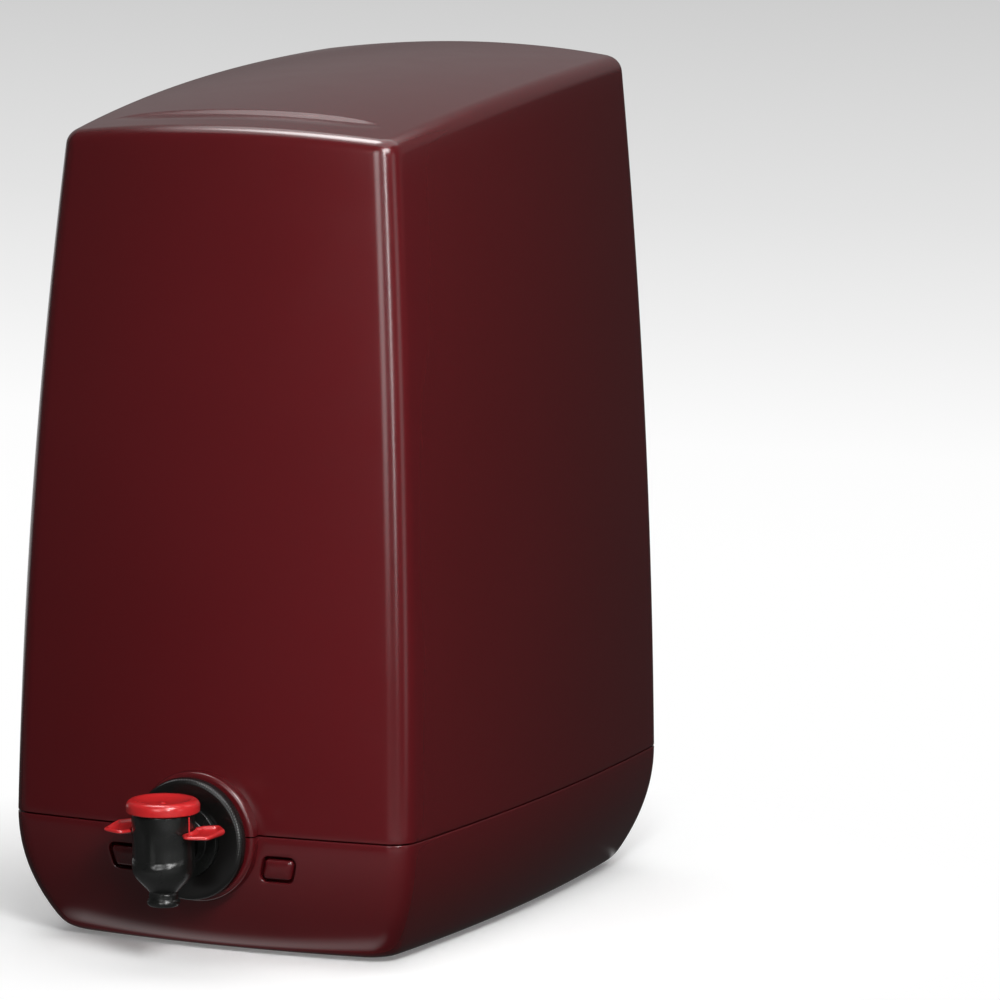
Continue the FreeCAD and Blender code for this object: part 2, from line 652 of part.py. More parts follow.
def make_base():
    outer = lofted("hullOuter", hull_plans(S.footStand))
    inner_plans = hull_plans(S.footStand + S.floorThickness)
    inner_plans.append(Plan(S.seamHeight + S.lipHeight, S.seamHalfWidth, S.seamFront, S.seamRear))
    inner = lofted("hullInner", inner_plans, S.wall)
    shell = cut("hullShell", outer, [inner])
    collar = make_collar("baseCollar", ZERO, base_top, S.collarBack)
    additions = [shell, make_lip(), collar]
    tools = [rod("baseBore", S.hubRadius + S.hubGap, -S.discFront, -S.hubBack, 0, S.discHeight, "y"),
             rod("keyGroove", S.hubRadius + S.keyDepth + S.keyGap, -(S.keyPlace + S.keyThickness + S.keyGap),
                 -(S.keyPlace - S.keyGap), 0, S.discHeight, "y")]
    for name, side, end in SCREW_PLACES:
        x, y = S.screwAcross * side, screw_y(end)
        additions.append(post("post" + name, x, y, S.postTop))
        tools.append(rod("postHole" + name, S.screwRadius + S.screwGap, S.postTop - S.screwDepth, S.postTop + S.screwGrip,
                         x, y))
        tools.append(rod("footHole" + name, S.footRadius + S.footGap, ZERO, S.footThickness,
                         S.footAcross * side, S.footAlong * end))
    for side, name in ((-1, "Left"), (1, "Right")):
        x, y = S.latchAcross * side, guide_screw_y()
        additions.append(post("guidePost" + name, x, y, S.guideBoss))
        tools.append(rod("guidePostHole" + name, S.screwRadius + S.screwGap, latch_screw_tip() - S.screwGrip / 2,
                         S.guideBoss + S.screwGrip, x, y))
        tools.append(latch_prism("latchHole" + name, side, S.latchGap, S.discFront, S.hookFront))
        shift = (S.hoodKnuckle + S.baseKnuckle) / 2 + S.knuckleGap
        for hand, mark in ((-1, "A"), (1, "B")):
            additions.append(hinge_lug("baseLug" + name + mark, side, S.baseKnuckle, shift * hand, -1))
        tools.append(pin_hole("basePinHole" + name, side))
    return piece(cut("baseFinal", fuse("baseJoined", additions), tools), "base_shell")


def make_foot(label, side, end):
    return piece(rod(label + "Solid", S.footRadius, ZERO, S.footThickness, S.footAcross * side,
                     S.footAlong * end), label)


# ------------------------------------------------------------------ screws
def screw(name, x, y, seat, grip):
    """A pan-head screw whose head sits on seat and whose shank goes down by grip."""
    shank = rod(name + "Shank", S.screwRadius, seat - grip, seat, x, y)
    head = rod(name + "Head", S.screwHead, seat, seat + S.screwHeadHeight, x, y)
    slot = box(name + "Slot", (x - S.screwRadius * 1.4, x + S.screwRadius * 1.4),
               (y - S.screwRadius / 4, y + S.screwRadius / 4),
               (seat + S.screwHeadHeight / 2, seat + S.screwHeadHeight * 2))
    return cut(name, fuse(name + "Blank", [shank, head]), [slot])


def group(label, solids):
    together = doc.addObject("Part::Compound", label + "Group")
    together.Links = solids
    return piece(together, label)


# ------------------------------------------------------------------ bag cradle
def cradle_height(y):
    """The height of the cradle's floor at a distance behind its front edge."""
    return S.cradleFloor + (S.cradleFront + y) * S.cradleSlope


def make_cradle():
    front, rear = -S.cradleFront, S.cradleRear
    low, high = cradle_height(front), cradle_height(rear)
    half = S.cradleHalfWidth
    thickness = S.cradleThickness
    plate = prism("cradlePlate", "YZ_Plane", -half, half,
                  [(front, low - thickness), (rear, high - thickness), (rear, high), (front, low)])
    additions = [plate]
    for side, name in ((-1, "Left"), (1, "Right")):
        edge, inside = half * side, (half - S.cradleWall) * side
        x = (inside, edge) if side > 0 else (edge, inside)
        additions.append(prism("cradleSide" + name, "YZ_Plane", x[0], x[1],
                               [(front, low - thickness), (rear, high - thickness),
                                (rear, high + S.cradleRim), (front, low + S.cradleRim)]))
    rear_low = cradle_height(rear - S.cradleWall)
    additions.append(prism("cradleBack", "YZ_Plane", -half, half,
                           [(rear - S.cradleWall, rear_low - thickness), (rear, high - thickness),
                            (rear, high + S.cradleRim), (rear - S.cradleWall, high + S.cradleRim)]))
    front_high = cradle_height(front + S.cradleWall)
    additions.append(prism("cradleFrontWall", "YZ_Plane", -half, half,
                           [(front, low - thickness), (front + S.cradleWall, front_high - thickness),
                            (front + S.cradleWall, low + S.cradleRim), (front, low + S.cradleRim)]))
    tools = [box("cradleNotchBox", (-S.cradleNotch, S.cradleNotch), (front * 2, front + S.cradleWall),
                 (low, low * 3))]
    for name, side, end in SCREW_PLACES:
        x, y = S.screwAcross * side, screw_y(end)
        additions.append(rod("cradleLeg" + name, S.postRadius, S.postTop, cradle_height(y - S.postRadius), x, y))
        tools.append(rod("cradleHole" + name, S.screwRadius + S.screwGap, S.postTop - S.screwGrip, high * 2, x, y))
        tools.append(rod("cradleSink" + name, S.screwHead + S.plungerGap, S.postTop + S.screwGrip, high * 2,
                         x, y))
    return piece(cut("cradleFinal", fuse("cradleJoined", additions), tools), "bag_cradle")


# ------------------------------------------------------------------ latches
def make_latch_button(label, side):
    """A leaning button cap whose face follows the hull, with a flange behind the wall."""
    cap = latch_prism(label + "Cap", side, ZERO, S.discFront, S.flangeFront)
    half = S.latchHalfHeight + S.latchFlange
    low, high = S.latchHeight - half, S.latchHeight + half
    middle = S.latchAcross * side
    reach = S.latchHalfWidth * 2
    face_low = hull_front(S.latchAcross, low) + S.latchProud
    face_high = hull_front(S.latchAcross, high) + S.latchProud
    face = prism(label + "Face", "YZ_Plane", middle - reach, middle + reach,
                 [(-face_low, low), (-S.hookFront, low), (-S.hookFront, high), (-face_high, high)])
    front = common(label + "Front", cap, face)
    flange = latch_prism(label + "Flange", side, S.latchFlange + S.latchGap, S.flangeFront,
                         S.flangeFront - S.flangeThickness)
    return piece(fuse(label + "Solid", [front, flange]), label)


def make_latch_hook(label, side):
    """An upright arm with a forward nose, a boss that meets the button and a plunger behind."""
    middle = S.latchAcross * side
    front, back = -S.hookFront, -(S.hookFront - S.hookThickness)
    bevel = S.noseReach * 0.8
    nose_low = S.hookTop - S.noseHeight
    arm = prism(label + "Arm", "YZ_Plane", middle - S.hookHalfWidth, middle + S.hookHalfWidth,
                [(front, S.hookBottom), (back, S.hookBottom), (back, S.hookTop), (front, S.hookTop),
                 (front - S.noseReach, S.hookTop - bevel), (front - S.noseReach, nose_low),
                 (front, nose_low)])
    boss = rod(label + "Boss", S.plungerRadius * 1.5, -(S.flangeFront - S.flangeThickness), back, middle,
               S.latchHeight, "y")
    plunger = rod(label + "Plunger", S.plungerRadius, back, -S.plungerBack, middle, S.latchHeight, "y")
    return piece(fuse(label + "Solid", [arm, boss, plunger]), label)


def guide_screw_y():
    return -(S.guideFront - S.guideThickness - S.guideFoot / 2)


def latch_screw_tip():
    return S.guideBoss + S.screwGrip - S.latchScrewDepth


def make_latch_guide(label, side):
    """A bracket on the floor that the plunger slides through."""
    middle = S.latchAcross * side
    x = (middle - S.guideHalfWidth, middle + S.guideHalfWidth)
    back = -(S.guideFront - S.guideThickness)
    plate = box(label + "Plate", x, (-S.guideFront, back), (S.guideBoss, S.guideTop))
    foot = box(label + "Foot", x, (-S.guideFront, back + S.guideFoot), (S.guideBoss, S.guideBoss + S.screwGrip))
    tools = [rod(label + "Hole", S.plungerRadius + S.plungerGap, -S.guideFront * 2, ZERO, middle,
                 S.latchHeight, "y"),
             rod(label + "ScrewHole", S.screwRadius + S.screwGap, ZERO, S.guideTop, middle, guide_screw_y())]
    return piece(cut(label + "Solid", fuse(label + "Blank", [plate, foot]), tools), label)


def make_latch_spring(label, side):
    """A coil spring around the plunger, between the hook's arm and the guide."""
    length = S.hookFront - S.hookThickness - S.guideFront - S.springWire - S.fineGap * 2
    helix = doc.addObject("Part::Helix", label + "Helix")
    tie(helix, "Radius", S.springRadius - S.springWire / 2)
    tie(helix, "Height", length)
    tie(helix, "Pitch", length / S.springTurns)
    wire = doc.addObject("Part::Circle", label + "Wire")
    tie(wire, "Radius", S.springWire / 2)
    place(wire, S.springRadius - S.springWire / 2, 0, 0, FreeCAD.Rotation(V(1, 0, 0), 90))
    sweep = doc.addObject("Part::Sweep", label + "Sweep")
    sweep.Sections = [wire]
    sweep.Spine = (helix, ["Edge1"])
    sweep.Solid = True
    sweep.Frenet = True
    place(sweep, S.latchAcross * side, -(S.hookFront - S.hookThickness - S.springWire / 2 - S.fineGap),
          S.latchHeight, TO_PLUS_Y)
    return piece(sweep, label)


# ------------------------------------------------------------------ tap disc and gland
def make_disc():
    """A rim in front of the collar, a hub through it and a key in the base's half."""
    rim_back = -(S.discFront - S.discRim)
    plate_back = -(S.discFront - S.discPlate)
    hole = S.glandRadius + S.glandGap
    sleeve = hole + S.hubWall
    back = -S.hubBack
    turned_part = turned("discTurned",
                         [(hole, -S.discFront), (hole, back), (sleeve, back), (sleeve, plate_back),
                          (S.hubRadius - S.hubWall, plate_back), (S.hubRadius - S.hubWall, back),
                          (S.hubRadius, back), (S.hubRadius, rim_back), (S.discRadius, rim_back),
                          (S.discRadius, -S.discFront)], z=S.discHeight, along="y")
    inside = S.hubRadius - S.hubWall / 2
    ring = turned("discKeyRing",
                  [(inside, -(S.keyPlace + S.keyThickness)), (inside, -S.keyPlace),
                   (S.hubRadius + S.keyDepth, -S.keyPlace),
                   (S.hubRadius + S.keyDepth, -(S.keyPlace + S.keyThickness))],
                  z=S.discHeight, along="y")
    reach = S.discRadius * 2
    half = box("discKeyHalf", (-reach, reach), (-S.discFront, ZERO), (ZERO, S.discHeight - S.keyDrop))
    return piece(fuse("discSolid", [turned_part, common("discKey", ring, half)]), "tap_disc")


def make_gland():
    """The spout welded to the bag: a tube with a retaining ring and a flange."""
    front = -(S.discFront - S.glandGap)
    bore = S.glandRadius - S.glandWall
    flange_front = -(S.glandBack + S.glandFlangeThickness)
    ring_front = -(S.hubBack - S.fineGap)
    ring_back = ring_front + (S.hubBack - S.glandBack - S.glandFlangeThickness) * 0.5
    return piece(turned("glandSolid",
                        [(bore, front), (bore, -S.glandBack), (S.glandFlange, -S.glandBack),
                         (S.glandFlange, flange_front), (S.glandRadius, flange_front),
                         (S.glandRadius, ring_back), (S.glandRing, ring_back), (S.glandRing, ring_front),
                         (S.glandRadius, ring_front), (S.glandRadius, front)],
                        z=S.discHeight, along="y"), "bag_gland")


# ------------------------------------------------------------------ tap
tap_axis = S.discFront + S.tapReach


def funnel_side(radius, height):
    """The radius of the round funnel under the barrel at a height, for an arc of the given radius."""
    drop = S.funnelTop - height
    middle = S.barrelRadius - S.funnelRadius
    return middle + (radius * radius - drop * drop).root()


def funnel_height(radius, place_out):
    """The height at which that arc reaches a distance from the axis."""
    middle = S.barrelRadius - S.funnelRadius
    out = place_out - middle
    return S.funnelTop - (radius * radius - out * out).root()


def make_tap_body():
    outer_radius = S.funnelRadius
    inner_radius = S.funnelRadius - S.barrelWall
    spout_side = funnel_side(outer_radius, S.spoutTop)
    neck = S.spoutLip - S.spoutBead
    bead_middle = S.spoutBottom + S.spoutBead
    outside = turned("tapOutside",
                     [(ZERO, S.spoutBottom), (neck, S.spoutBottom), (S.spoutLip, bead_middle),
                      (neck, bead_middle + S.spoutBead), (neck, S.spoutTop - S.spoutNeckRound),
                      (spout_side, S.spoutTop), (S.barrelRadius, S.funnelTop),
                      (S.barrelRadius, S.barrelTop), (ZERO, S.barrelTop)],
                     {1: S.spoutBead, 2: S.spoutBead, 5: outer_radius}, y=-tap_axis)
    bore = S.barrelRadius - S.barrelWall
    above = S.barrelTop + S.barrelWall
    seat_top = S.seatHeight + S.seatThickness
    inside = turned("tapInside",
                    [(ZERO, S.spoutBottom - S.barrelWall), (S.spoutBore, S.spoutBottom - S.barrelWall),
                     (S.spoutBore, funnel_height(inner_radius, S.spoutBore)),
                     (funnel_side(inner_radius, S.seatHeight), S.seatHeight), (S.seatBore, S.seatHeight),
                     (S.seatBore, seat_top), (S.ledgeBore, seat_top), (S.ledgeBore, S.ledgeInside),
                     (bore, S.ledgeInside), (bore, above), (ZERO, above)],
                    {2: inner_radius}, y=-tap_axis)
    collar_back = -(S.discFront + S.tapCollarGap)
    collar_front = collar_back - S.tapCollarThickness
    plug_back = -(S.hubBack + S.hubGap)
    tubes = [outside,
             rod("tapNeck", S.neckRadius, -(tap_axis - S.spoutBore), collar_back, 0, S.discHeight, "y"),
             rod("tapCollar", S.tapCollarRadius, collar_front, collar_back, 0, S.discHeight, "y"),
             rod("tapPlug", S.plugRadius, collar_back, plug_back, 0, S.discHeight, "y")]
    neck_start = -(tap_axis - S.seatBore - S.seatLand)
    tools = [inside, rod("tapNeckBore", S.neckBore, neck_start, plug_back + S.barrelWall, 0, S.discHeight, "y")]
    for side, name in ((-1, "Left"), (1, "Right")):
        tools.append(tongue("wingSlot" + name, side, S.fineGap))
    return piece(cut("tapSolid", fuse("tapBlank", tubes), tools), "tap_body")


def tongue(name, side, grow):
    """The tongue of a finger wing, or with grow the slot for it in the barrel."""
    root = (S.barrelRadius - S.barrelWall / 2 - grow) * side
    end = (S.barrelRadius + S.wingGap + S.wingRound) * side
    middle_z = S.wingTop - S.wingThickness / 2
    half = S.tongueThickness / 2 + grow
    half_width = S.tongueWidth / 2 + grow
    x = (root, end) if side > 0 else (end, root)
    return box(name, x, (-tap_axis - half_width, -tap_axis + half_width), (middle_z - half, middle_z + half))


def make_wing(label, side):
    """A dished finger rest whose root follows the barrel, with the stubs of its tamper bridges."""
    root = S.barrelRadius + S.wingGap
    out = (root * root - S.wingRootDepth * S.wingRootDepth).root()
    low = S.wingTop - S.wingThickness
    corners = [(out, -S.wingRootDepth), (S.wingShoulder, -S.wingShoulderFront), (S.wingTip, -S.wingTipFront),
               (S.wingSide, S.wingSideRear), (S.wingCorner, S.wingCornerRear), (S.wingNeck, S.wingNeckRear),
               (out, S.wingRootDepth)]
    if side < 0:
        corners = [(-x, y) for x, y in reversed(corners)]
    body = prism(label + "Plate", "XY_Plane", low, S.wingTop, corners, {6: -root})

    def off_root(point):
        return math.hypot(point.x, point.y) > root.value + TOUCH
    fillet(body, lambda edge: runs_along(edge, V(0, 0, 1)) and off_root(edge.Vertexes[0].Point), S.wingRound)
    fillet(body, lambda edge: not runs_along(edge, V(0, 0, 1)) and off_root(edge.CenterOfMass), S.wingEdge)
    place(body, 0, -tap_axis)
    dish = doc.addObject("Part::Sphere", label + "Dish")
    tie(dish, "Radius", S.wingDishRadius)
    place(dish, (S.wingSide + root) / 2 * side, S.wingDishRear - tap_axis,
          S.wingTop + S.wingDishRadius - S.wingDish)
    bridges = []
    reach = S.buttonRadius + S.bridgeClearance
    for slide, name in ((S.bridgeFirst, "First"), (S.bridgeSecond, "Second")):
        across = (reach * reach - slide * slide).root()
        bridges.append(rod(label + "Bridge" + name, S.bridgeRadius, low,
                           S.buttonTop - S.buttonThickness - S.bridgeRadius, across * side,
                           -tap_axis - slide * side))
    solid = fuse(label + "Solid", [cut(label + "Dished", body, [dish]), tongue(label + "Tongue", side, ZERO)]
                 + bridges)
    return piece(solid, label)


def make_button():
    """A round cap with a bowl in its top, whose skirt comes down over the barrel."""
    top = S.buttonTop
    bottom = top - S.buttonThickness
    dish_height = top - S.buttonDish
    recess = S.buttonRadius - S.buttonSkirt
    recess_top = S.barrelTop + S.pressTravel + S.pressGap
    web_low = dish_height - S.webThickness
    web_edge = S.barrelRadius - S.barrelWall - S.domeThickness
    rim_inside = S.buttonRadius - S.buttonEdge - S.buttonRim
    nub_foot = S.nubRadius + S.nubRise
    run = rim_inside - nub_foot
    bowl = (run * run + S.buttonDish * S.buttonDish) / (S.buttonDish * 2)
    low_edge = S.buttonSkirt / 2
    body = turned("tapButtonSolid",
                  [(ZERO, dish_height + S.nubRise), (S.nubRadius, dish_height + S.nubRise),
                   (nub_foot, dish_height), (rim_inside, top),
                   (S.buttonRadius - S.buttonEdge, top), (S.buttonRadius, top - S.buttonEdge),
                   (S.buttonRadius, bottom + low_edge), (S.buttonRadius - low_edge, bottom),
                   (recess, bottom), (recess, recess_top), (web_edge, recess_top), (web_edge, web_low),
                   (S.bossRadius, web_low), (S.bossRadius, boss_bottom_height()),
                   (ZERO, boss_bottom_height())],
                  {2: bowl, 4: -S.buttonEdge, 6: -low_edge}, y=-tap_axis)
    return piece(body, "tap_button")


def boss_bottom_height():
    return S.buttonTop - S.buttonThickness + S.fineGap


def make_stem():
    """The valve stem: it hangs from the button and carries the seal."""
    top = boss_bottom_height()
    seal_top = S.seatHeight - S.fineGap
    seal_low = seal_top - S.sealThickness
    tail = seal_low - S.stemTail
    shoulder_top = seal_top + S.seatThickness / 2
    return piece(turned("stemSolid",
                        [(ZERO, tail), (S.stemShoulder, tail), (S.stemShoulder, seal_low - S.fineGap),
                         (S.stemRadius, seal_low - S.fineGap), (S.stemRadius, seal_top + S.fineGap),
                         (S.stemShoulder, seal_top + S.fineGap), (S.stemShoulder, shoulder_top),
                         (S.stemRadius, shoulder_top), (S.stemRadius, top), (ZERO, top)], y=-tap_axis),
                 "tap_stem")


def make_seal():
    seal_top = S.seatHeight - S.fineGap
    seal_low = seal_top - S.sealThickness
    bore = S.stemRadius + S.fineGap
    return piece(turned("sealSolid",
                        [(bore, seal_low), (S.sealRadius - S.sealThickness / 2, seal_low),
                         (S.sealRadius, seal_low + S.sealThickness / 2), (S.sealRadius, seal_top),
                         (bore, seal_top)], y=-tap_axis), "tap_seal")


def make_dome():
    """The springy membrane under the button, which lifts it again."""
    foot = S.ledgeInside + S.fineGap
    outside = S.barrelRadius - S.barrelWall - S.fineGap
    top = boss_bottom_height() - S.fineGap
    bore = S.stemRadius + S.fineGap * 2
    shell = S.domeThickness
    return piece(turned("domeSolid",
                        [(outside, foot), (outside, foot + shell * 2), (outside - shell * 1.4, foot + shell * 2),
                         (S.bossRadius + shell * 1.6, top), (bore, top), (bore, top - shell),
                         (S.bossRadius + shell * 1.2, top - shell), (outside - shell * 2, foot + shell),
                         (outside - shell * 2, foot)], y=-tap_axis), "tap_diaphragm")


# ------------------------------------------------------------------ wine bag
def make_bag():
    """A full bag slumped on the cradle, drawn out to its gland at the front."""
    gap = S.bagGap
    bottom = S.cradleFloor - S.cradleThickness
    margin = S.cradleWall + gap + S.bagBulge
    half, front, rear = S.cradleHalfWidth - margin, S.cradleFront - margin, S.cradleRear - margin
    plans = [Plan(bottom, half, front, rear),
             Plan((bottom + S.bagShoulder) / 2, half, front - S.bagLean, rear),
             Plan(S.bagShoulder, half - S.bagLean, S.bagShoulderFront, rear - S.bagLean),
             Plan(S.bagTop, S.bagTopHalfWidth, S.bagTopFront, S.bagTopRear)]
    sack = lofted("bagSack", plans, ZERO, S.bagCorner, S.bagBulge, S.bagBulge)
    nose = turned("bagNose", [(ZERO, -(S.glandBack - gap)), (S.glandFlange - gap, -(S.glandBack - gap)),
                              (S.noseRadius, -S.noseBack), (ZERO, -S.noseBack)], z=S.discHeight, along="y")
    front, rear = -S.glandBack, S.cradleRear * 2
    reach = S.cradleHalfWidth * 2
    floor = prism("bagFloorCut", "YZ_Plane", -reach, reach,
                  [(front, ZERO), (rear, ZERO), (rear, cradle_height(rear) + gap),
                   (front, cradle_height(front) + gap)])
    return piece(cut("bagSolid", fuse("bagJoined", [sack, nose]), [floor]), "wine_bag")


# ------------------------------------------------------------------ the assembly
make_hood()
make_base()
make_disc()
make_gland()
make_tap_body()
make_button()
make_stem()
make_seal()
make_dome()
make_cradle()
make_bag()
cradle_screws = []
for place_name, side, end in SCREW_PLACES:
    make_foot("foot_" + ("front_" if end < 0 else "rear_") + ("left" if side < 0 else "right"), side, end)
    cradle_screws.append(screw("cradleScrew" + place_name, S.screwAcross * side, screw_y(end),
                               S.postTop + S.screwGrip, S.screwDepth))
group("cradle_screws", cradle_screws)
guide_screws = []
for side, hand in ((-1, "left"), (1, "right")):
    make_hinge_pin("hinge_pin_" + hand, side)
    make_latch_button("latch_button_" + hand, side)
    make_latch_hook("latch_hook_" + hand, side)
    make_latch_guide("latch_guide_" + hand, side)
    make_latch_spring("latch_spring_" + hand, side)
    make_wing("finger_wing_" + hand, side)
    guide_screws.append(screw("guideScrew" + hand, S.latchAcross * side, guide_screw_y(),
                              S.guideBoss + S.screwGrip, S.latchScrewDepth))
group("latch_screws", guide_screws)
doc.recompute()

# ------------------------------------------------------------------ checks and files
failed = [obj.Name for obj in doc.Objects if "Invalid" in obj.State or "Error" in obj.State]
for solid in PIECES:
    if solid.Shape.isNull() or not solid.Shape.isValid() or not solid.Shape.Solids:
        failed.append(solid.Label)
if failed:
    raise RuntimeError("not built: %s" % ", ".join(failed))
for solid in PIECES:
    solid.Shape.exportStep(os.path.join("parts", solid.Label + ".step"))
    print("%-20s %d solid(s) %10.1f mm3" % (solid.Label, len(solid.Shape.Solids), solid.Shape.Volume))
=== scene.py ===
"""Looks of the bag-in-box wine dispenser.

A glossy burgundy housing, a black and scarlet push tap, and a foil bag inside.
"""
import json
import math
import bmesh
import bpy
import numpy as np
from mathutils import Matrix, Vector, noise


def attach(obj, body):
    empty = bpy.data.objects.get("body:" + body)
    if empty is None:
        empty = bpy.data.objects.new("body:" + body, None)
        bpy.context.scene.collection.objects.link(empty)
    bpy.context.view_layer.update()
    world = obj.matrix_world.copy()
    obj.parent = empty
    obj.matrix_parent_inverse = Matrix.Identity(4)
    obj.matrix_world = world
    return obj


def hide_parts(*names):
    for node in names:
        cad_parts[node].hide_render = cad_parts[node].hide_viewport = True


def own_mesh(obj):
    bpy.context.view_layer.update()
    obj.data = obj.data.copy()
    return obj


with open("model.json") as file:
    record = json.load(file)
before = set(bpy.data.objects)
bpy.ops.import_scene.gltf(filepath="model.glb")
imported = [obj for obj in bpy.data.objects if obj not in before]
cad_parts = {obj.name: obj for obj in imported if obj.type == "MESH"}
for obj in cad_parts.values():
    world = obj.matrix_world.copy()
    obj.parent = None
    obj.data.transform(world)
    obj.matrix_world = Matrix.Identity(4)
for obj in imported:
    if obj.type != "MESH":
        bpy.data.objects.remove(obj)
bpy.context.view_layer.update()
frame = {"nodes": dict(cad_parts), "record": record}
NODES = frame["nodes"]
MM = 0.001
SIDES = ((-1, "left"), (1, "right"))
ENDS = ((-1, "front"), (1, "rear"))

# ---------- sizes in millimetres
SEAM, SEAM_GAP = 49.8, 0.5
HOOD_LOW, BASE_HIGH = SEAM + SEAM_GAP / 2, SEAM - SEAM_GAP / 2
HOOD_HEIGHTS = (HOOD_LOW, 180.6, 346.5)
HOOD_WIDTHS = (84.5, 80.1, 66.8)
HOOD_FRONTS = (120.5, 113.1, 97.2)
HOOD_REARS = (120.5, 120.7, 121.0)
FACE_BULGE, SIDE_BULGE, CORNER = 5.2, 5.8, 10
WALL = 3
ROOF_FRONT, ROOF_REAR, ROOF_FRONT_HEIGHT, ROOF_REAR_HEIGHT = 101.3, 121, 311.4, 332.2
ROOF_ARCH, ROOF_DOME, ROOF_HALF_WIDTH, ROOF_EDGE = 4.2, 4.9, 70.4, 7
DENT_HALF_LENGTH, DENT_FRONT, DENT_WIDTH, DENT_DEPTH = 57, 83, 17, 1.3
FOOT_STAND, FLOOR = 1.5, 3
HULL_INSET, HULL_POWER, HULL_TURN, HULL_TURN_POWER = 14.4, 2.1, 4.6, 36
EDGE = 0.4                     # rounding of the housing's edges along the seam
DISC_HEIGHT, DISC_FRONT, DISC_RIM, DISC_RADIUS = 48.2, 136.5, 4.5, 23.5
HUB_RADIUS, HUB_BACK, BORE = 21.2, 112, 21.5
COLLAR_RADIUS, COLLAR_FRONT, COLLAR_ROUND, COLLAR_BACK, COLLAR_INNER = 25, 129.7, 1.6, 113, 118
COLLAR_SEAT = COLLAR_RADIUS - 1.8   # the hole in the housing that the collar fills
GLAND_HOLE = 14.1
TAP_REACH, BARREL, BARREL_TOP, BARREL_WALL = 154.5, 11.9, 61.9, 1.4
# the funnel under the barrel, as radius and height
FUNNEL = [(11.8, 40.4), (11.55, 39.3), (11.1, 38.2), (10.45, 37.2), (9.6, 36.2), (8.65, 35.2),
          (7.65, 34.2), (6.6, 33.1), (5.6, 32)]
SPOUT_TOP, SPOUT_LIP, SPOUT_BOTTOM, SPOUT_BORE, SPOUT_BEAD = 31.4, 6.3, 26.4, 4.3, 1.5
SEAT_TOP, LEDGE = 42, 56.5     # the valve's seat and the ledge under the membrane, inside the barrel
BUTTON, BUTTON_TOP, BUTTON_THICKNESS, BUTTON_DISH, BUTTON_EDGE = 14, 67.2, 4.9, 1.7, 2.5
BUTTON_BOTTOM = BUTTON_TOP - BUTTON_THICKNESS
MEMBRANE_FOOT, MEMBRANE_TOP, MEMBRANE_SHELL, MEMBRANE_BORE = 56.55, 62.3, 0.8, 2.3
WING_TOP, WING_THICKNESS = 56.5, 2.6
LATCH_ACROSS, LATCH_HEIGHT, LATCH_HALF_WIDTH, LATCH_HALF_HEIGHT = 32.5, 37, 6.2, 4.3
LATCH_LEAN, LATCH_GAP, LATCH_PROUD, LATCH_ROUND = 0.27, 0.8, 0.5, 1.8
LATCH_SLACK = 0.3              # the cap is this much smaller all round than its outline
STRIKE_FRONT, STRIKE_REAR, STRIKE_LOW, STRIKE_HIGH, STRIKE_HALF = -122.9, -116.8, 55.2, 58.2, 5
SPRING_FRONT, SPRING_REAR, SPRING_RADIUS, SPRING_WIRE, SPRING_TURNS = -113.45, -103.05, 3.6, 0.35, 5
HINGE_ACROSS, HINGE_PLACE, KNUCKLE, HOOD_KNUCKLE, BASE_KNUCKLE, KNUCKLE_GAP = 45, 130.6, 5.5, 12, 6, 0.3
PIN_RADIUS, PIN_HEAD, PIN_HEAD_LENGTH = 2.5, 3.6, 1.2
FOOT_RADIUS, FOOT_ACROSS, FOOT_ALONG, FOOT_THICKNESS = 8, 46, 82, 3
# the screw posts on the base's floor, as across, along and top; they stand on both sides
POSTS = [(56, -72, 13.5), (56, 80, 13.5), (LATCH_ACROSS, -93.5, 9.5)]
POST_RADIUS, POST_HOLE = 5, 1.8

FACE_STEPS, SIDE_STEPS, CORNER_STEPS = 56, 44, 14   # columns of the housing's meshes


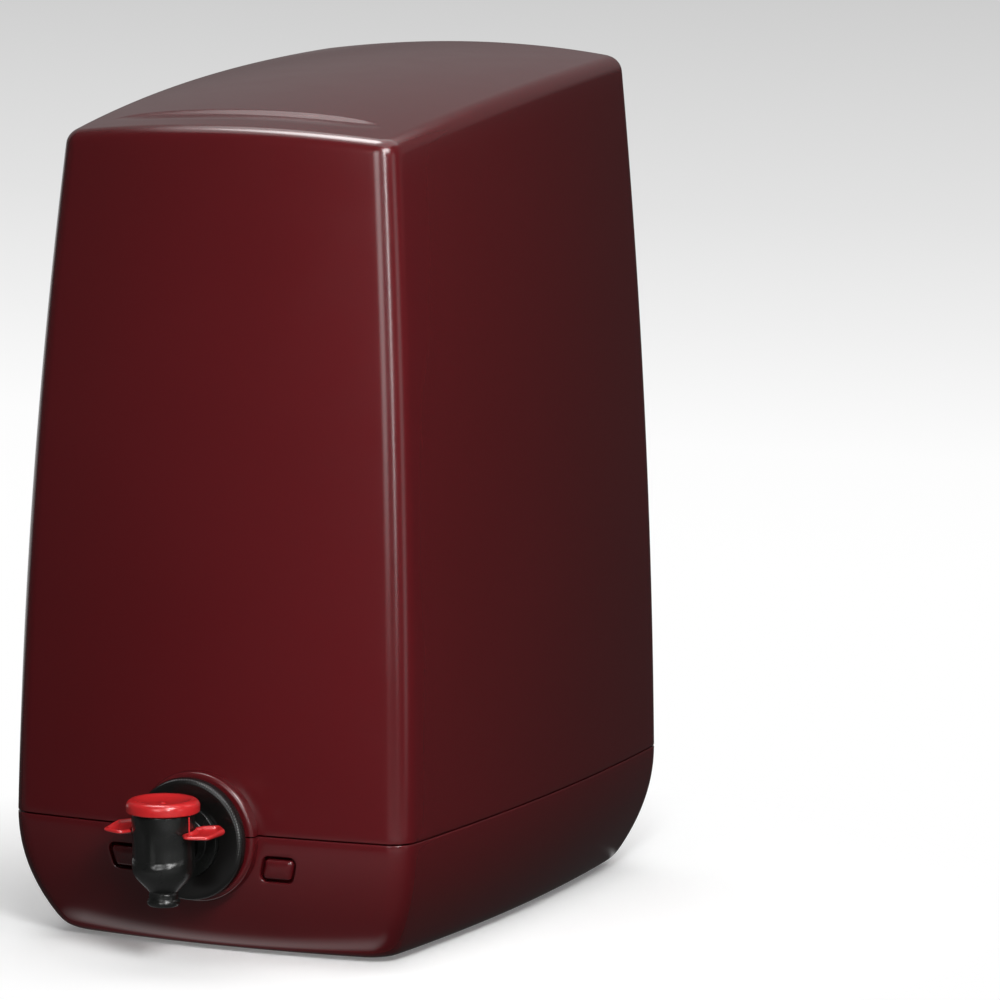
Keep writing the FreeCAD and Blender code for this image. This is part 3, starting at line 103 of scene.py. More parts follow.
# ---------- materials
class Paint:
    """A node material in the making: a principled shader and helpers that wire nodes to it."""

    def __init__(self, name, colour, roughness, **sockets):
        self.material = bpy.data.materials.new(name)
        self.material.use_nodes = True
        self.tree = self.material.node_tree
        self.shader = self.tree.nodes["Principled BSDF"]
        self.shader.inputs["Base Color"].default_value = (*colour, 1)
        self.shader.inputs["Roughness"].default_value = roughness
        for socket, value in sockets.items():
            self.shader.inputs[socket.replace("_", " ")].default_value = value
        self.place = self.node("ShaderNodeTexCoord").outputs["Object"]

    def node(self, kind, sockets=None, **settings):
        """A node whose input sockets are set to values or linked to other nodes' outputs."""
        node = self.tree.nodes.new(kind)
        for name, value in settings.items():
            setattr(node, name, value)
        for name, value in (sockets or {}).items():
            self.feed(node.inputs[name], value)
        return node

    def feed(self, socket, value):
        if isinstance(value, bpy.types.NodeSocket):
            self.tree.links.new(value, socket)
        else:
            socket.default_value = value

    def noise(self, scale, detail):
        """A noise over the object's own space; scale is in features per metre."""
        return self.node("ShaderNodeTexNoise",
                         {"Vector": self.place, "Scale": scale, "Detail": detail}).outputs["Fac"]

    def ramp(self, value, low, high, start=0.3, end=0.7):
        """Spread a value that runs from start to end between two numbers, and clamp it there."""
        return self.node("ShaderNodeMapRange", {"Value": value, "From Min": start, "From Max": end,
                                                "To Min": low, "To Max": high}).outputs["Result"]

    def maths(self, operation, *values):
        """Several values taken together by an operation of two, such as their product."""
        total = values[0]
        for value in values[1:]:
            total = self.node("ShaderNodeMath", {0: total, 1: value}, operation=operation).outputs["Value"]
        return total

    def vary(self, colour, roughness, relief=None):
        """Lay noises over colour, roughness and relief, and give the material.

        Each is a scale and detail, and then two colours, two roughnesses, or a distance and strength.
        """
        inputs = self.shader.inputs
        if colour:
            scale, detail, first, second = colour
            mix = self.node("ShaderNodeMix", {"A": (*first, 1), "B": (*second, 1), "Factor": self.ramp(
                self.noise(scale, detail), 0, 1)}, data_type="RGBA")
            self.feed(inputs["Base Color"], mix.outputs["Result"])
        scale, detail, low, high = roughness
        self.feed(inputs["Roughness"], self.ramp(self.noise(scale, detail), low, high))
        if relief:
            scale, detail, distance, strength = relief
            bump = self.node("ShaderNodeBump", {"Height": self.noise(scale, detail), "Distance": distance,
                                                "Strength": strength})
            self.feed(inputs["Normal"], bump.outputs["Normal"])
        return self.material


def finish(name, colour, roughness, *noises, **sockets):
    return Paint(name, colour, roughness, **sockets).vary(*noises)


def rubber(name, tone, relief_scale):
    return finish(name, (tone, tone, tone), 0.75, (50, 4, (tone * 0.85,) * 3, (tone * 1.3,) * 3),
                  (200, 3, 0.68, 0.85), (relief_scale, 4, 0.00004, 0.8))


FINISHES = {
    "housing": finish(
        "burgundy_gloss", (0.082, 0.0052, 0.0072), 0.2,
        (9, 2, (0.079, 0.0049, 0.0068), (0.085, 0.0055, 0.0076)), (60, 3, 0.19, 0.22),
        (900, 2, 0.000004, 0.5), IOR=1.5, Specular_IOR_Level=0.5),
    "disc": finish(
        "black_gloss", (0.0042, 0.0038, 0.0036), 0.24,
        (60, 3, (0.0038, 0.0034, 0.0032), (0.0047, 0.0043, 0.004)), (80, 3, 0.22, 0.27),
        (1500, 2, 0.000006, 0.5), IOR=1.45),
    "tap_black": finish(
        "black_satin", (0.006, 0.0064, 0.006), 0.26,
        (40, 3, (0.0055, 0.0059, 0.0055), (0.007, 0.0075, 0.007)), (150, 3, 0.23, 0.29),
        (2500, 3, 0.00001, 0.6), IOR=1.5),
    "tap_red": finish(
        "scarlet", (0.55, 0.018, 0.02), 0.22, (60, 3, (0.52, 0.017, 0.019), (0.58, 0.021, 0.023)),
        (200, 3, 0.19, 0.25), (1800, 3, 0.000008, 0.6), IOR=1.5, Subsurface_Weight=0.08,
        Subsurface_Scale=0.002, Subsurface_Radius=(1.0, 0.2, 0.1)),
    "inner_plastic": finish(
        "moulded_grey", (0.05, 0.05, 0.055), 0.45, (30, 3, (0.045, 0.045, 0.05), (0.056, 0.056, 0.061)),
        (120, 3, 0.4, 0.52), (3000, 3, 0.00002, 0.7)),
    "clear_plastic": finish(
        "natural_plastic", (0.72, 0.73, 0.72), 0.35, None, (150, 3, 0.3, 0.42), (1500, 3, 0.00001, 0.6),
        Transmission_Weight=0.2, IOR=1.5),
    "bag_film": finish(
        "bag_foil", (0.42, 0.425, 0.44), 0.45, (25, 4, (0.38, 0.385, 0.4), (0.45, 0.455, 0.465)),
        (90, 4, 0.4, 0.5), (60, 3, 0.001, 0.3), Metallic=0.8),
    "foot_rubber": rubber("foot_rubber", 0.02, 900),
    "seal_rubber": rubber("seal_rubber", 0.03, 1500),
    "steel": finish(
        "zinc_steel", (0.6, 0.6, 0.6), 0.3, (200, 3, (0.52, 0.52, 0.54), (0.66, 0.66, 0.65)),
        (400, 4, 0.24, 0.4), Metallic=1.0),
}
SLOT_OF = {part["node"]: part["material_slot"] for part in frame["record"]["subparts"]}
for name, node in NODES.items():
    node.data.materials.clear()
    node.data.materials.append(FINISHES[SLOT_OF[name]])


# ---------- meshes
SHARP = math.radians(32)
QUARTER = [math.pi / 2 * step / 6 for step in range(7)]   # the angles of a quarter round


def add_object(name, data):
    thing = bpy.data.objects.new(name, data)
    bpy.context.scene.collection.objects.link(thing)
    return thing


def reshape(mesh, change):
    """Run a change on a mesh through bmesh. Its hard edges stay crisp and the rest is smooth."""
    work = bmesh.new()
    work.from_mesh(mesh)
    change(work)
    work.to_mesh(mesh)
    work.free()
    mesh.shade_smooth()
    mesh.set_sharp_from_angle(angle=SHARP)


def apply_modifiers(thing):
    graph = bpy.context.evaluated_depsgraph_get()
    mesh = bpy.data.meshes.new_from_object(thing.evaluated_get(graph))
    thing.modifiers.clear()
    thing.data = mesh
    return mesh


def add_mesh(name, points, faces):
    """An object from points in millimetres, with its faces turned outwards."""
    mesh = bpy.data.meshes.new(name)
    mesh.from_pydata([Vector(point) * MM for point in points], [], faces)
    reshape(mesh, lambda work: bmesh.ops.recalc_face_normals(work, faces=work.faces))
    return add_object(name, mesh)


def skin(name, rings, loop=False):
    """A closed surface through rings of equally many points. A ring of one point is a tip."""
    points, starts = [], []
    for ring in rings:
        starts.append(len(points))
        points.extend(ring)
    faces = []
    pairs = [(i, i + 1) for i in range(len(rings) - 1)]
    if loop:
        pairs.append((len(rings) - 1, 0))
    for first, second in pairs:
        a, b = starts[first], starts[second]
        count_a, count_b = len(rings[first]), len(rings[second])
        for i in range(max(count_a, count_b)):
            j = (i + 1) % max(count_a, count_b)
            if count_a == 1:
                faces.append((a, b + i, b + j))
            elif count_b == 1:
                faces.append((a + i, b, a + j))
            else:
                faces.append((a + i, b + i, b + j, a + j))
    if not loop:
        for start, ring in ((starts[0], rings[0]), (starts[-1], rings[-1])):
            if len(ring) > 1:
                faces.append(tuple(range(start, start + len(ring))))
    return add_mesh(name, points, faces)


def soften(corners, closed=True, steps=5):
    """The points of an outline whose corners (a, b, radius) are rounded by arcs."""
    points = []
    for index, (a, b, radius) in enumerate(corners):
        at_end = not closed and index in (0, len(corners) - 1)
        if radius == 0 or at_end:
            points.append((a, b))
            continue
        here = Vector((a, b))
        before = (Vector(corners[index - 1][:2]) - here).normalized()
        after = (Vector(corners[(index + 1) % len(corners)][:2]) - here).normalized()
        opening = before.angle(after)
        centre = here + (before + after).normalized() * (radius / math.sin(opening / 2))
        first = here + before * (radius / math.tan(opening / 2)) - centre
        turn = (math.pi - opening) * (1 if before.cross(after) < 0 else -1)
        for step in range(steps + 1):
            angle = turn * step / steps
            c, s = math.cos(angle), math.sin(angle)
            points.append((centre.x + first.x * c - first.y * s, centre.y + first.x * s + first.y * c))
    return points


def arc(centre, radius, start, end, steps):
    """Points on an arc, with angles in degrees."""
    angles = [math.radians(start + (end - start) * step / steps) for step in range(steps + 1)]
    return [(centre[0] + radius * math.cos(a), centre[1] + radius * math.sin(a)) for a in angles]


def lathe(name, profile, x=0.0, y=0.0, z=0.0, along="z", segments=96, loop=True, warp=None):
    """A turned piece from (radius, place) pairs about a z or y axis through x, y, z. warp adds to radii."""
    def point(out, angle, place):
        a, b = out * math.cos(angle), out * math.sin(angle)
        return (x + a, y + b, z + place) if along == "z" else (x + a, y + place, z + b)

    turns = [2 * math.pi * step / segments for step in range(segments)]
    rings = [[point(radius + (warp(radius, place, angle) if warp else 0), angle, place) for angle in turns]
             if radius > 1e-6 else [point(0, 0, place)] for radius, place in profile]
    closed = loop and len(rings[0]) > 1 and len(rings[-1]) > 1
    return skin(name, rings, closed)


def block(name, outline, low, high, axis, bevel=0.4):
    """An outline pushed along x, y or z from low to high, with its edges bevelled."""
    def point(pair, level):
        a, b = pair
        return {"x": (level, a, b), "y": (a, level, b), "z": (a, b, level)}[axis]
    made = skin(name, [[point(pair, level) for pair in outline] for level in (low, high)])

    def soften_edges(work):
        edges = [edge for edge in work.edges if edge.calc_face_angle(0) > SHARP]
        bmesh.ops.bevel(work, geom=edges, offset=bevel * MM, segments=2, profile=0.5, affect="EDGES")

    if bevel:
        reshape(made.data, soften_edges)
    return made


def combine(thing, tool):
    """Cut tool out of thing and drop the tool."""
    modifier = thing.modifiers.new("combine", "BOOLEAN")
    modifier.object = tool
    modifier.operation = "DIFFERENCE"
    modifier.solver = "EXACT"
    apply_modifiers(thing).set_sharp_from_angle(angle=SHARP)
    bpy.data.objects.remove(tool)
    return thing


def finish_piece(thing, slot, body, *nodes):
    """Give a piece its finish, its body and the CAD nodes that it stands for."""
    thing.data.materials.clear()
    thing.data.materials.append(FINISHES[slot])
    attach(thing, body)
    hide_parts(*nodes)


# ---------- housing outline
def meeting_point(first, first_radius, second, second_radius, sign):
    """The point on both circles that lies in the quarter given by sign."""
    apart = second - first
    distance = apart.length
    along = (first_radius ** 2 - second_radius ** 2 + distance ** 2) / (2 * distance)
    off = math.sqrt(first_radius ** 2 - along ** 2)
    unit = apart / distance
    foot = first + unit * along
    side = Vector((-unit.y, unit.x)) * off
    return max((foot + side, foot - side), key=lambda point: point.x * sign[0] + point.y * sign[1])


def outline(width, front, rear, inset=0.0):
    """The housing's plan: bulged sides joined by round corners. Points and outward directions."""
    half_depth = (front + rear) / 2
    face = (width ** 2 + FACE_BULGE ** 2) / (FACE_BULGE * 2) - inset
    side = (half_depth ** 2 + SIDE_BULGE ** 2) / (SIDE_BULGE * 2) - inset
    corner = CORNER - inset
    side_x = width + SIDE_BULGE - side - inset
    side_y = (rear - front) / 2
    centres = [Vector((0, face + inset - front - FACE_BULGE)), Vector((side_x, side_y)),
               Vector((0, rear + FACE_BULGE - face - inset)), Vector((-side_x, side_y))]
    radii = [face, side, face, side]
    signs = [(1, -1), (1, 1), (-1, 1), (-1, -1)]
    # of the four arcs, i - 3 is the one after i
    rounds = [meeting_point(centres[i], radii[i] - corner, centres[i - 3], radii[i - 3] - corner, signs[i])
              for i in range(4)]
    points, directions = [], []
    for i in range(4):
        after, following = rounds[i], centres[i - 3]
        spans = [(centres[i], radii[i], rounds[i - 1] - centres[i], after - centres[i],
                  FACE_STEPS if i % 2 == 0 else SIDE_STEPS),
                 (after, corner, after - centres[i], after - following, CORNER_STEPS)]
        for centre, radius, first, last, steps in spans:
            start, end = math.atan2(first.y, first.x), math.atan2(last.y, last.x)
            if end < start:
                end += 2 * math.pi
            for step in range(steps):
                angle = start + (end - start) * step / steps
                direction = Vector((math.cos(angle), math.sin(angle)))
                points.append(centre + direction * radius)
                directions.append(direction)
    return points, directions


def ring_at(plan, inset, height):
    return [(point.x, point.y, height) for point in outline(*plan, inset)[0]]


def shrink_ring(ring, share, middle_y, height):
    """A ring drawn in towards the middle, at a height or at the height that a function gives."""
    made = []
    for x, y, z in ring:
        x, y = x * share, middle_y + (y - middle_y) * share
        made.append((x, y, height(x, y) if callable(height) else height))
    return made


def through_three(heights, values, height):
    """The value at a height on the parabola through three values."""
    total = 0
    for i, value in enumerate(values):
        others = [h for j, h in enumerate(heights) if j != i]
        total += value * math.prod((height - h) / (heights[i] - h) for h in others)
    return total


def hood_plan(height):
    return tuple(through_three(HOOD_HEIGHTS, values, height)
                 for values in (HOOD_WIDTHS, HOOD_FRONTS, HOOD_REARS))


def hull_plan(height):
    down = (SEAM - height) / (SEAM - FOOT_STAND)
    inset = HULL_INSET * down ** HULL_POWER + HULL_TURN * down ** HULL_TURN_POWER if down > 0 else 0
    return HOOD_WIDTHS[0] - inset, HOOD_FRONTS[0] - inset, HOOD_REARS[0] - inset


# ---------- roof
ROOF_RUN, ROOF_RISE = ROOF_FRONT + ROOF_REAR, ROOF_REAR_HEIGHT - ROOF_FRONT_HEIGHT
ROOF_CHORD = math.hypot(ROOF_RUN, ROOF_RISE)
ROOF_RADIUS = (ROOF_CHORD ** 2 / 4 + ROOF_ARCH ** 2) / (ROOF_ARCH * 2)
ROOF_AXIS_Y = (ROOF_REAR - ROOF_FRONT) / 2 + ROOF_RISE * (ROOF_RADIUS - ROOF_ARCH) / ROOF_CHORD
ROOF_AXIS_Z = (ROOF_FRONT_HEIGHT + ROOF_REAR_HEIGHT) / 2 - ROOF_RUN * (ROOF_RADIUS - ROOF_ARCH) / ROOF_CHORD
DOME_RADIUS = (ROOF_HALF_WIDTH ** 2 + ROOF_DOME ** 2) / (ROOF_DOME * 2)
DOME_MIDDLE = ROOF_RADIUS + ROOF_DOME - DOME_RADIUS   # the dome arc's centre, out from the roof's axis


def roof_height(x, y, inset=0.0):
    out = DOME_MIDDLE + math.sqrt((DOME_RADIUS - inset) ** 2 - x * x)
    return ROOF_AXIS_Z + math.sqrt(out * out - (y - ROOF_AXIS_Y) ** 2)


def smooth_step(value, low, high):
    share = min(1.0, max(0.0, (value - low) / (high - low)))
    return share * share * (3 - 2 * share)


def dent_depth(x, y):
    """The hollow across the front of the roof: steep at its rear edge, soft towards the front."""
    along = 1 - min(1.0, abs(x) / DENT_HALF_LENGTH) ** 4
    half = DENT_WIDTH / 2 * math.sqrt(along)
    if half < 0.5:
        return 0.0
    across = (-DENT_FRONT + half - y) / (half * 2)
    if not 0 < across < 1:
        return 0.0
    return DENT_DEPTH * along * smooth_step(across, 0, 0.2) * (1 - smooth_step(across, 0.2, 1))


def dented_roof(x, y):
    return roof_height(x, y) - dent_depth(x, y)


def roof_gap(point, inset):
    """How far a point lies below the roof, and the roof's outward direction above it."""
    spoke = Vector((0, point.y - ROOF_AXIS_Y, point.z - ROOF_AXIS_Z))
    out = spoke.length - DOME_MIDDLE
    spoke.normalize()
    reach = math.hypot(point.x, out)
    direction = Vector((point.x / reach, 0, 0)) + spoke * (out / reach)
    return DOME_RADIUS - inset - reach, direction


LOW_ROWS, LOW_STEP, HIGH_ROWS = 14, 2.5, 30         # rows of the walls, and the low rows' step
SAMPLE_LOW, SAMPLE_HIGH, SAMPLE_STEP = 280, 346, 2   # heights at which the walls are sampled under the roof
HALVINGS = 30                                        # of the span in which a wall meets the roof's rounding
ROUND_STEPS = 8                                      # of the rounding between the walls and the roof
ROOF_ROWS, CEILING_ROWS = 84, 20


def hood_rings(inset, roof_rows):
    """The hood's outer or inner surface as rings from its lower edge to the middle of its roof."""
    rings = []
    low_top = HOOD_LOW + EDGE
    if inset == 0:
        rings += [ring_at(hood_plan(HOOD_LOW), EDGE * (1 - math.sin(a)), low_top - EDGE * math.cos(a))
                  for a in (0, math.pi / 6, math.pi / 3)]
    else:
        rings.append(ring_at(hood_plan(HOOD_LOW), inset, HOOD_LOW))
    for row in range(LOW_ROWS + 1):
        height = low_top + row * LOW_STEP
        rings.append(ring_at(hood_plan(height), inset, height))
    samples = np.arange(SAMPLE_LOW, SAMPLE_HIGH, SAMPLE_STEP, dtype=float)
    walls = [outline(*hood_plan(height), inset) for height in samples]
    radius = ROOF_EDGE - inset
    tops, arcs = [], []
    for column in range(len(rings[0])):
        xs = np.array([wall[0][column].x for wall in walls])
        ys = np.array([wall[0][column].y for wall in walls])
        outward = walls[-1][1][column]

        def wall_point(height):
            return Vector((np.interp(height, samples, xs), np.interp(height, samples, ys), height))

        def wall_direction(height):
            slope = wall_point(height + SAMPLE_STEP) - wall_point(height - SAMPLE_STEP)
            lean = -(slope.x * outward.x + slope.y * outward.y) / slope.z
            return Vector((outward.x, outward.y, lean)).normalized()
        low, high = float(samples[1]), float(samples[-2])
        for _ in range(HALVINGS):
            height = (low + high) / 2
            centre = wall_point(height) - wall_direction(height) * radius
            if roof_gap(centre, inset)[0] > radius:
                low = height
            else:
                high = height
        tops.append(height)
        side, up = wall_direction(height), roof_gap(centre, inset)[1]
        arcs.append([centre + side.slerp(up, step / ROUND_STEPS) * radius for step in range(ROUND_STEPS + 1)])
    start = low_top + LOW_ROWS * LOW_STEP
    for row in range(1, HIGH_ROWS):
        share = row / HIGH_ROWS
        table, ring = {}, []
        for column, top in enumerate(tops):
            height = start + (top - start) * share
            key = round(height, 3)
            if key not in table:
                table[key] = outline(*hood_plan(height), inset)[0]
            point = table[key][column]
            ring.append((point.x, point.y, height))
        rings.append(ring)
    for step in range(ROUND_STEPS + 1):
        rings.append([tuple(column_arc[step]) for column_arc in arcs])
    middle_y = (ROOF_REAR - ROOF_FRONT) / 2
    top_ring = rings[-1]
    surface = dented_roof if inset == 0 else lambda x, y: roof_height(x, y, inset)
    for row in range(1, roof_rows):
        rings.append(shrink_ring(top_ring, 1 - row / roof_rows, middle_y, surface))
    rings.append([(0, middle_y, surface(0, middle_y))])
    return rings


def collar_tool():
    """What is cut away from the housing's front for the collar and the disc's hub."""
    rear = 4 - HUB_BACK
    profile = [(0, -DISC_FRONT), (COLLAR_SEAT, -DISC_FRONT), (COLLAR_SEAT, rear), (0, rear)]
    return lathe("bore_tool", profile, z=DISC_HEIGHT, along="y", loop=False)


def half_collar(name, level, up, back):
    """The half ring behind the disc's rim, above or below a level."""
    profile = soften([(BORE, -COLLAR_FRONT, 0.4), (COLLAR_RADIUS, -COLLAR_FRONT, COLLAR_ROUND),
                      (COLLAR_RADIUS, -back, 0), (BORE, -back, 0)])
    rings, steps = [], 64
    for step in range(steps + 1):
        ring = []
        for radius, y in profile:
            rise = math.asin((level - DISC_HEIGHT) / radius * up)
            angle = (rise + (math.pi - 2 * rise) * step / steps) * up
            ring.append((radius * math.cos(angle), y, DISC_HEIGHT + radius * math.sin(angle)))
        rings.append(ring)
    return skin(name, rings)


def hinge_outline(up):
    """A knuckle's side view with the web that joins it to the wall."""
    root = HOOD_FRONTS[0] + FACE_BULGE / 2 - WALL / 2
    far = root if up > 0 else root - WALL * 0.9
    knuckle = arc((HINGE_PLACE, SEAM), KNUCKLE, 45 * up, -176 * up, 20)
    return [(root, SEAM + SEAM_GAP / 2 * up), (far, SEAM + 17 * up)] + knuckle


def make_hood():
    shell = skin("hood_shell", hood_rings(0.0, ROOF_ROWS)[::-1] + hood_rings(WALL, CEILING_ROWS))
    pieces = [combine(shell, collar_tool()), half_collar("hood_collar", HOOD_LOW, 1, COLLAR_INNER)]
    for side, hand in SIDES:
        middle = HINGE_ACROSS * side
        pieces.append(block("hood_knuckle_" + hand, hinge_outline(1), middle - HOOD_KNUCKLE / 2,
                            middle + HOOD_KNUCKLE / 2, "x"))
        ledge = soften([(STRIKE_FRONT, STRIKE_HIGH, 0), (STRIKE_FRONT, STRIKE_LOW, 0),
                        (STRIKE_REAR, STRIKE_LOW, 0.8), (STRIKE_REAR, STRIKE_HIGH, 0.8)])
        across = LATCH_ACROSS * side
        pieces.append(block("hood_strike_" + hand, ledge, across - STRIKE_HALF, across + STRIKE_HALF, "x"))
    for made in pieces:
        finish_piece(made, "housing", "hood", "hood")


# ---------- base
HULL_ROWS, HULL_SPREAD = 30, 1.6   # the spread crowds the rows towards the underside, where the hull turns
INNER_ROWS = 12
# a latch pocket's sides, as growth over its outline and depth under the hull's face, from inside outwards
POCKET_SIDES = [(0, 9), (0, 0.7), (0.02, 0.5), (0.1, 0.28), (0.22, 0.12), (0.4, 0.02), (0.7, -0.12),
                (1.4, -2)]


def base_rings():
    """The base's surface as rings, from the middle of its underside over its rim to that of its floor."""
    low = ring_at(hull_plan(FOOT_STAND), 0, FOOT_STAND)
    rings = [[(0, 0, FOOT_STAND)]]
    rings += [shrink_ring(low, share, 0, FOOT_STAND) for share in (0.3, 0.6, 0.8, 0.92, 0.98)]
    top = BASE_HIGH - EDGE
    for row in range(HULL_ROWS + 1):
        height = FOOT_STAND + (top - FOOT_STAND) * (row / HULL_ROWS) ** HULL_SPREAD
        rings.append(ring_at(hull_plan(height), 0, height))
    for a in (math.pi / 6, math.pi / 3, math.pi / 2):
        rings.append(ring_at(hull_plan(BASE_HIGH), EDGE * (1 - math.cos(a)), top + EDGE * math.sin(a)))
    floor = FOOT_STAND + FLOOR
    for row in range(INNER_ROWS + 1):
        height = BASE_HIGH - (BASE_HIGH - floor) * row / INNER_ROWS
        rings.append(ring_at(hull_plan(height), WALL, height))
    inside = rings[-1]
    rings += [shrink_ring(inside, share, 0, floor) for share in (0.9, 0.6, 0.3)]
    rings.append([(0, 0, floor)])
    return rings


def latch_outline(grow, radius):
    """The leaning outline of a latch button on the right-hand side, about its own middle."""
    half_width, half_height = LATCH_HALF_WIDTH + grow, LATCH_HALF_HEIGHT + grow
    lean = half_height * LATCH_LEAN
    return soften([(-half_width - lean, -half_height, radius), (half_width - lean, -half_height, radius),
                   (half_width + lean, half_height, radius), (-half_width + lean, half_height, radius)])


def hull_front(across, height):
    """How far in front of the middle the hull's face lies."""
    return hull_plan(height)[1] + FACE_BULGE * (1 - (across / HOOD_WIDTHS[0]) ** 2)


def pocket_tool(side):
    """What is cut away for a latch button: a pocket whose mouth is rounded and follows the hull's face."""
    rings = []
    for grow, depth in POCKET_SIDES:
        reach = LATCH_GAP + grow
        rings.append([((LATCH_ACROSS + a) * side, depth - hull_front(LATCH_ACROSS + a, LATCH_HEIGHT + b),
                       LATCH_HEIGHT + b) for a, b in latch_outline(reach, LATCH_ROUND + reach)])
    return skin("latch_tool", rings)


def make_lip():
    """The rim inside the base's edge that centres the hood."""
    plan = hull_plan(BASE_HIGH)
    root, outside, inside = 2.0, 3.3, 4.9   # insets from the hull's face
    low, ledge, top = BASE_HIGH - 6, BASE_HIGH - 0.2, BASE_HIGH + 4
    section = soften([(root, low, 0), (inside, low, 0.5), (inside, top, 0.6), (outside, top, 0.6),
                      (outside, ledge, 0), (root, ledge, 0)], steps=2)
    lip = skin("base_lip", [ring_at(plan, inset, height) for inset, height in section], loop=True)
    reach, front, rear, above = COLLAR_RADIUS + 1.2, -140, -60, 60
    gap = [(-reach, front), (reach, front), (reach, rear), (-reach, rear)]
    return combine(lip, block("lip_tool", gap, BASE_HIGH - 2, above, "z", 0))


def make_base():
    shell = combine(skin("base_hull", base_rings()), collar_tool())
    for side in (-1, 1):
        combine(shell, pocket_tool(side))
    pieces = [shell, half_collar("base_collar", BASE_HIGH, -1, COLLAR_BACK), make_lip()]
    for side, hand in SIDES:
        for end, mark in ((-1, "a"), (1, "b")):
            middle = HINGE_ACROSS * side + ((HOOD_KNUCKLE + BASE_KNUCKLE) / 2 + KNUCKLE_GAP) * end
            pieces.append(block("base_knuckle_%s_%s" % (hand, mark), hinge_outline(-1),
                                middle - BASE_KNUCKLE / 2, middle + BASE_KNUCKLE / 2, "x"))
        for number, (across, along, top) in enumerate(POSTS, start=1):
            profile = soften([(POST_HOLE, 3, 0), (POST_RADIUS, 3, 0), (POST_RADIUS, top, 0.5),
                              (POST_HOLE, top, 0.3)])
            name = "base_post_%s_%d" % (hand, number)
            pieces.append(lathe(name, profile, across * side, along, segments=32))
    for made in pieces:
        finish_piece(made, "housing", "base", "base_shell")


def make_feet():
    """Four rubber pads, each with a shallow hollow in its underside."""
    profile = [(0, 0.5), (5, 0.5)]
    profile += soften([(5.4, 0.5, 0), (5.8, 0, 0.2), (FOOT_RADIUS, 0, 0.8),
                       (FOOT_RADIUS, FOOT_THICKNESS, 0.3), (0, FOOT_THICKNESS, 0)], closed=False, steps=3)
    for end, row in ENDS:
        for side, hand in SIDES:
            place = "%s_%s" % (row, hand)
            foot = lathe("foot_pad_" + place, profile, FOOT_ACROSS * side, FOOT_ALONG * end, segments=48,
                         loop=False)
            finish_piece(foot, "foot_rubber", "base", "foot_" + place)


# ---------- latch buttons
CAP_ROUNDING, CAP_ROOT, FLANGE_FRONT, FLANGE_REAR = 1.7, 5, -118.6, -117.1


def make_latch_button(side, hand):
    """A soft-edged leaning cap whose face follows the hull, and the flange behind it."""
    levels = [(LATCH_SLACK, CAP_ROOT), (LATCH_SLACK, 2.2)]   # inset from the outline, depth behind the face
    levels += [(LATCH_SLACK + CAP_ROUNDING * (1 - math.cos(a)), CAP_ROUNDING * (1 - math.sin(a)))
               for a in QUARTER]
    levels += [(2.7, -0.12), (3.2, -0.19), (3.9, -0.22)]
    rings = []
    for inset, depth in levels:
        ring = []
        for a, b in latch_outline(-inset, max(0.35, LATCH_ROUND - inset * 0.6)):
            x, z = LATCH_ACROSS + a, LATCH_HEIGHT + b
            ring.append((x * side, depth - LATCH_PROUD - hull_front(x, z), z))
        rings.append(ring)
    flange = [((LATCH_ACROSS + a) * side, LATCH_HEIGHT + b) for a, b in latch_outline(2.2, 3.0)]
    for made in (skin("latch_cap_" + hand, rings),
                 block("latch_flange_" + hand, flange, FLANGE_FRONT, FLANGE_REAR, "y", 0.3)):
        finish_piece(made, "housing", "latch_" + hand, "latch_button_" + hand)


# ---------- tap disc
RIBS, RIB_DEPTH, RIM_ROUND = 132, 0.24, 2.1


def make_disc():
    """The black disc with a finely ribbed rim, a hub behind it and a sleeve for the gland."""
    rim_back = -(DISC_FRONT - DISC_RIM)
    ribbed = [(DISC_RADIUS - RIM_ROUND * (1 - math.sin(a)), -DISC_FRONT + RIM_ROUND * (1 - math.cos(a)))
              for a in QUARTER]
    ribbed += [(DISC_RADIUS, rim_back - 0.4), (DISC_RADIUS - 0.3, rim_back)]
    hub_inside, sleeve, web, rear = 19.2, 16.1, -134, -HUB_BACK
    body = soften([(HUB_RADIUS, rim_back, 0), (HUB_RADIUS, rear, 0.4), (hub_inside, rear, 0.4),
                   (hub_inside, web, 0), (sleeve, web, 0), (sleeve, rear, 0.4), (GLAND_HOLE, rear, 0.4),
                   (GLAND_HOLE, -DISC_FRONT, 0.5)], closed=False)

    def rib(radius, place, angle):
        if radius < DISC_RADIUS - RIM_ROUND * 0.9:
            return 0.0
        return -RIB_DEPTH * (0.5 - 0.5 * math.cos(RIBS * angle)) ** 2

    disc = lathe("disc_ribbed", ribbed + body, z=DISC_HEIGHT, along="y", segments=RIBS * 6, warp=rib)
    finish_piece(disc, "disc", "base", "tap_disc")


# ---------- tap
PANEL_DEPTH, PANEL_END = 0.75, 80   # the end in degrees round from the tap's front


def panel_foot(angle):
    """The height of the front panel's lower edge at an angle round from the tap's front, in degrees."""
    return 42.4 + 2.6 * (angle / 86) ** 2


def barrel_warp(radius, place, turn):
    """The shallow panels in the barrel's front half, left and right of its parting line."""
    if radius < BARREL - 0.9 or place > BARREL_TOP - 3:
        return 0.0
    angle = abs((math.degrees(turn) + 90 + 180) % 360 - 180)
    if angle > PANEL_END:
        return 0.0
    side = smooth_step(angle, 2, 14) * (1 - smooth_step(angle, 46, PANEL_END))
    low = panel_foot(angle)
    rise = smooth_step(place, low - 0.5, low + 1.9)
    fade = 1 - smooth_step(place, 48, 58)
    return -PANEL_DEPTH * side * rise * fade


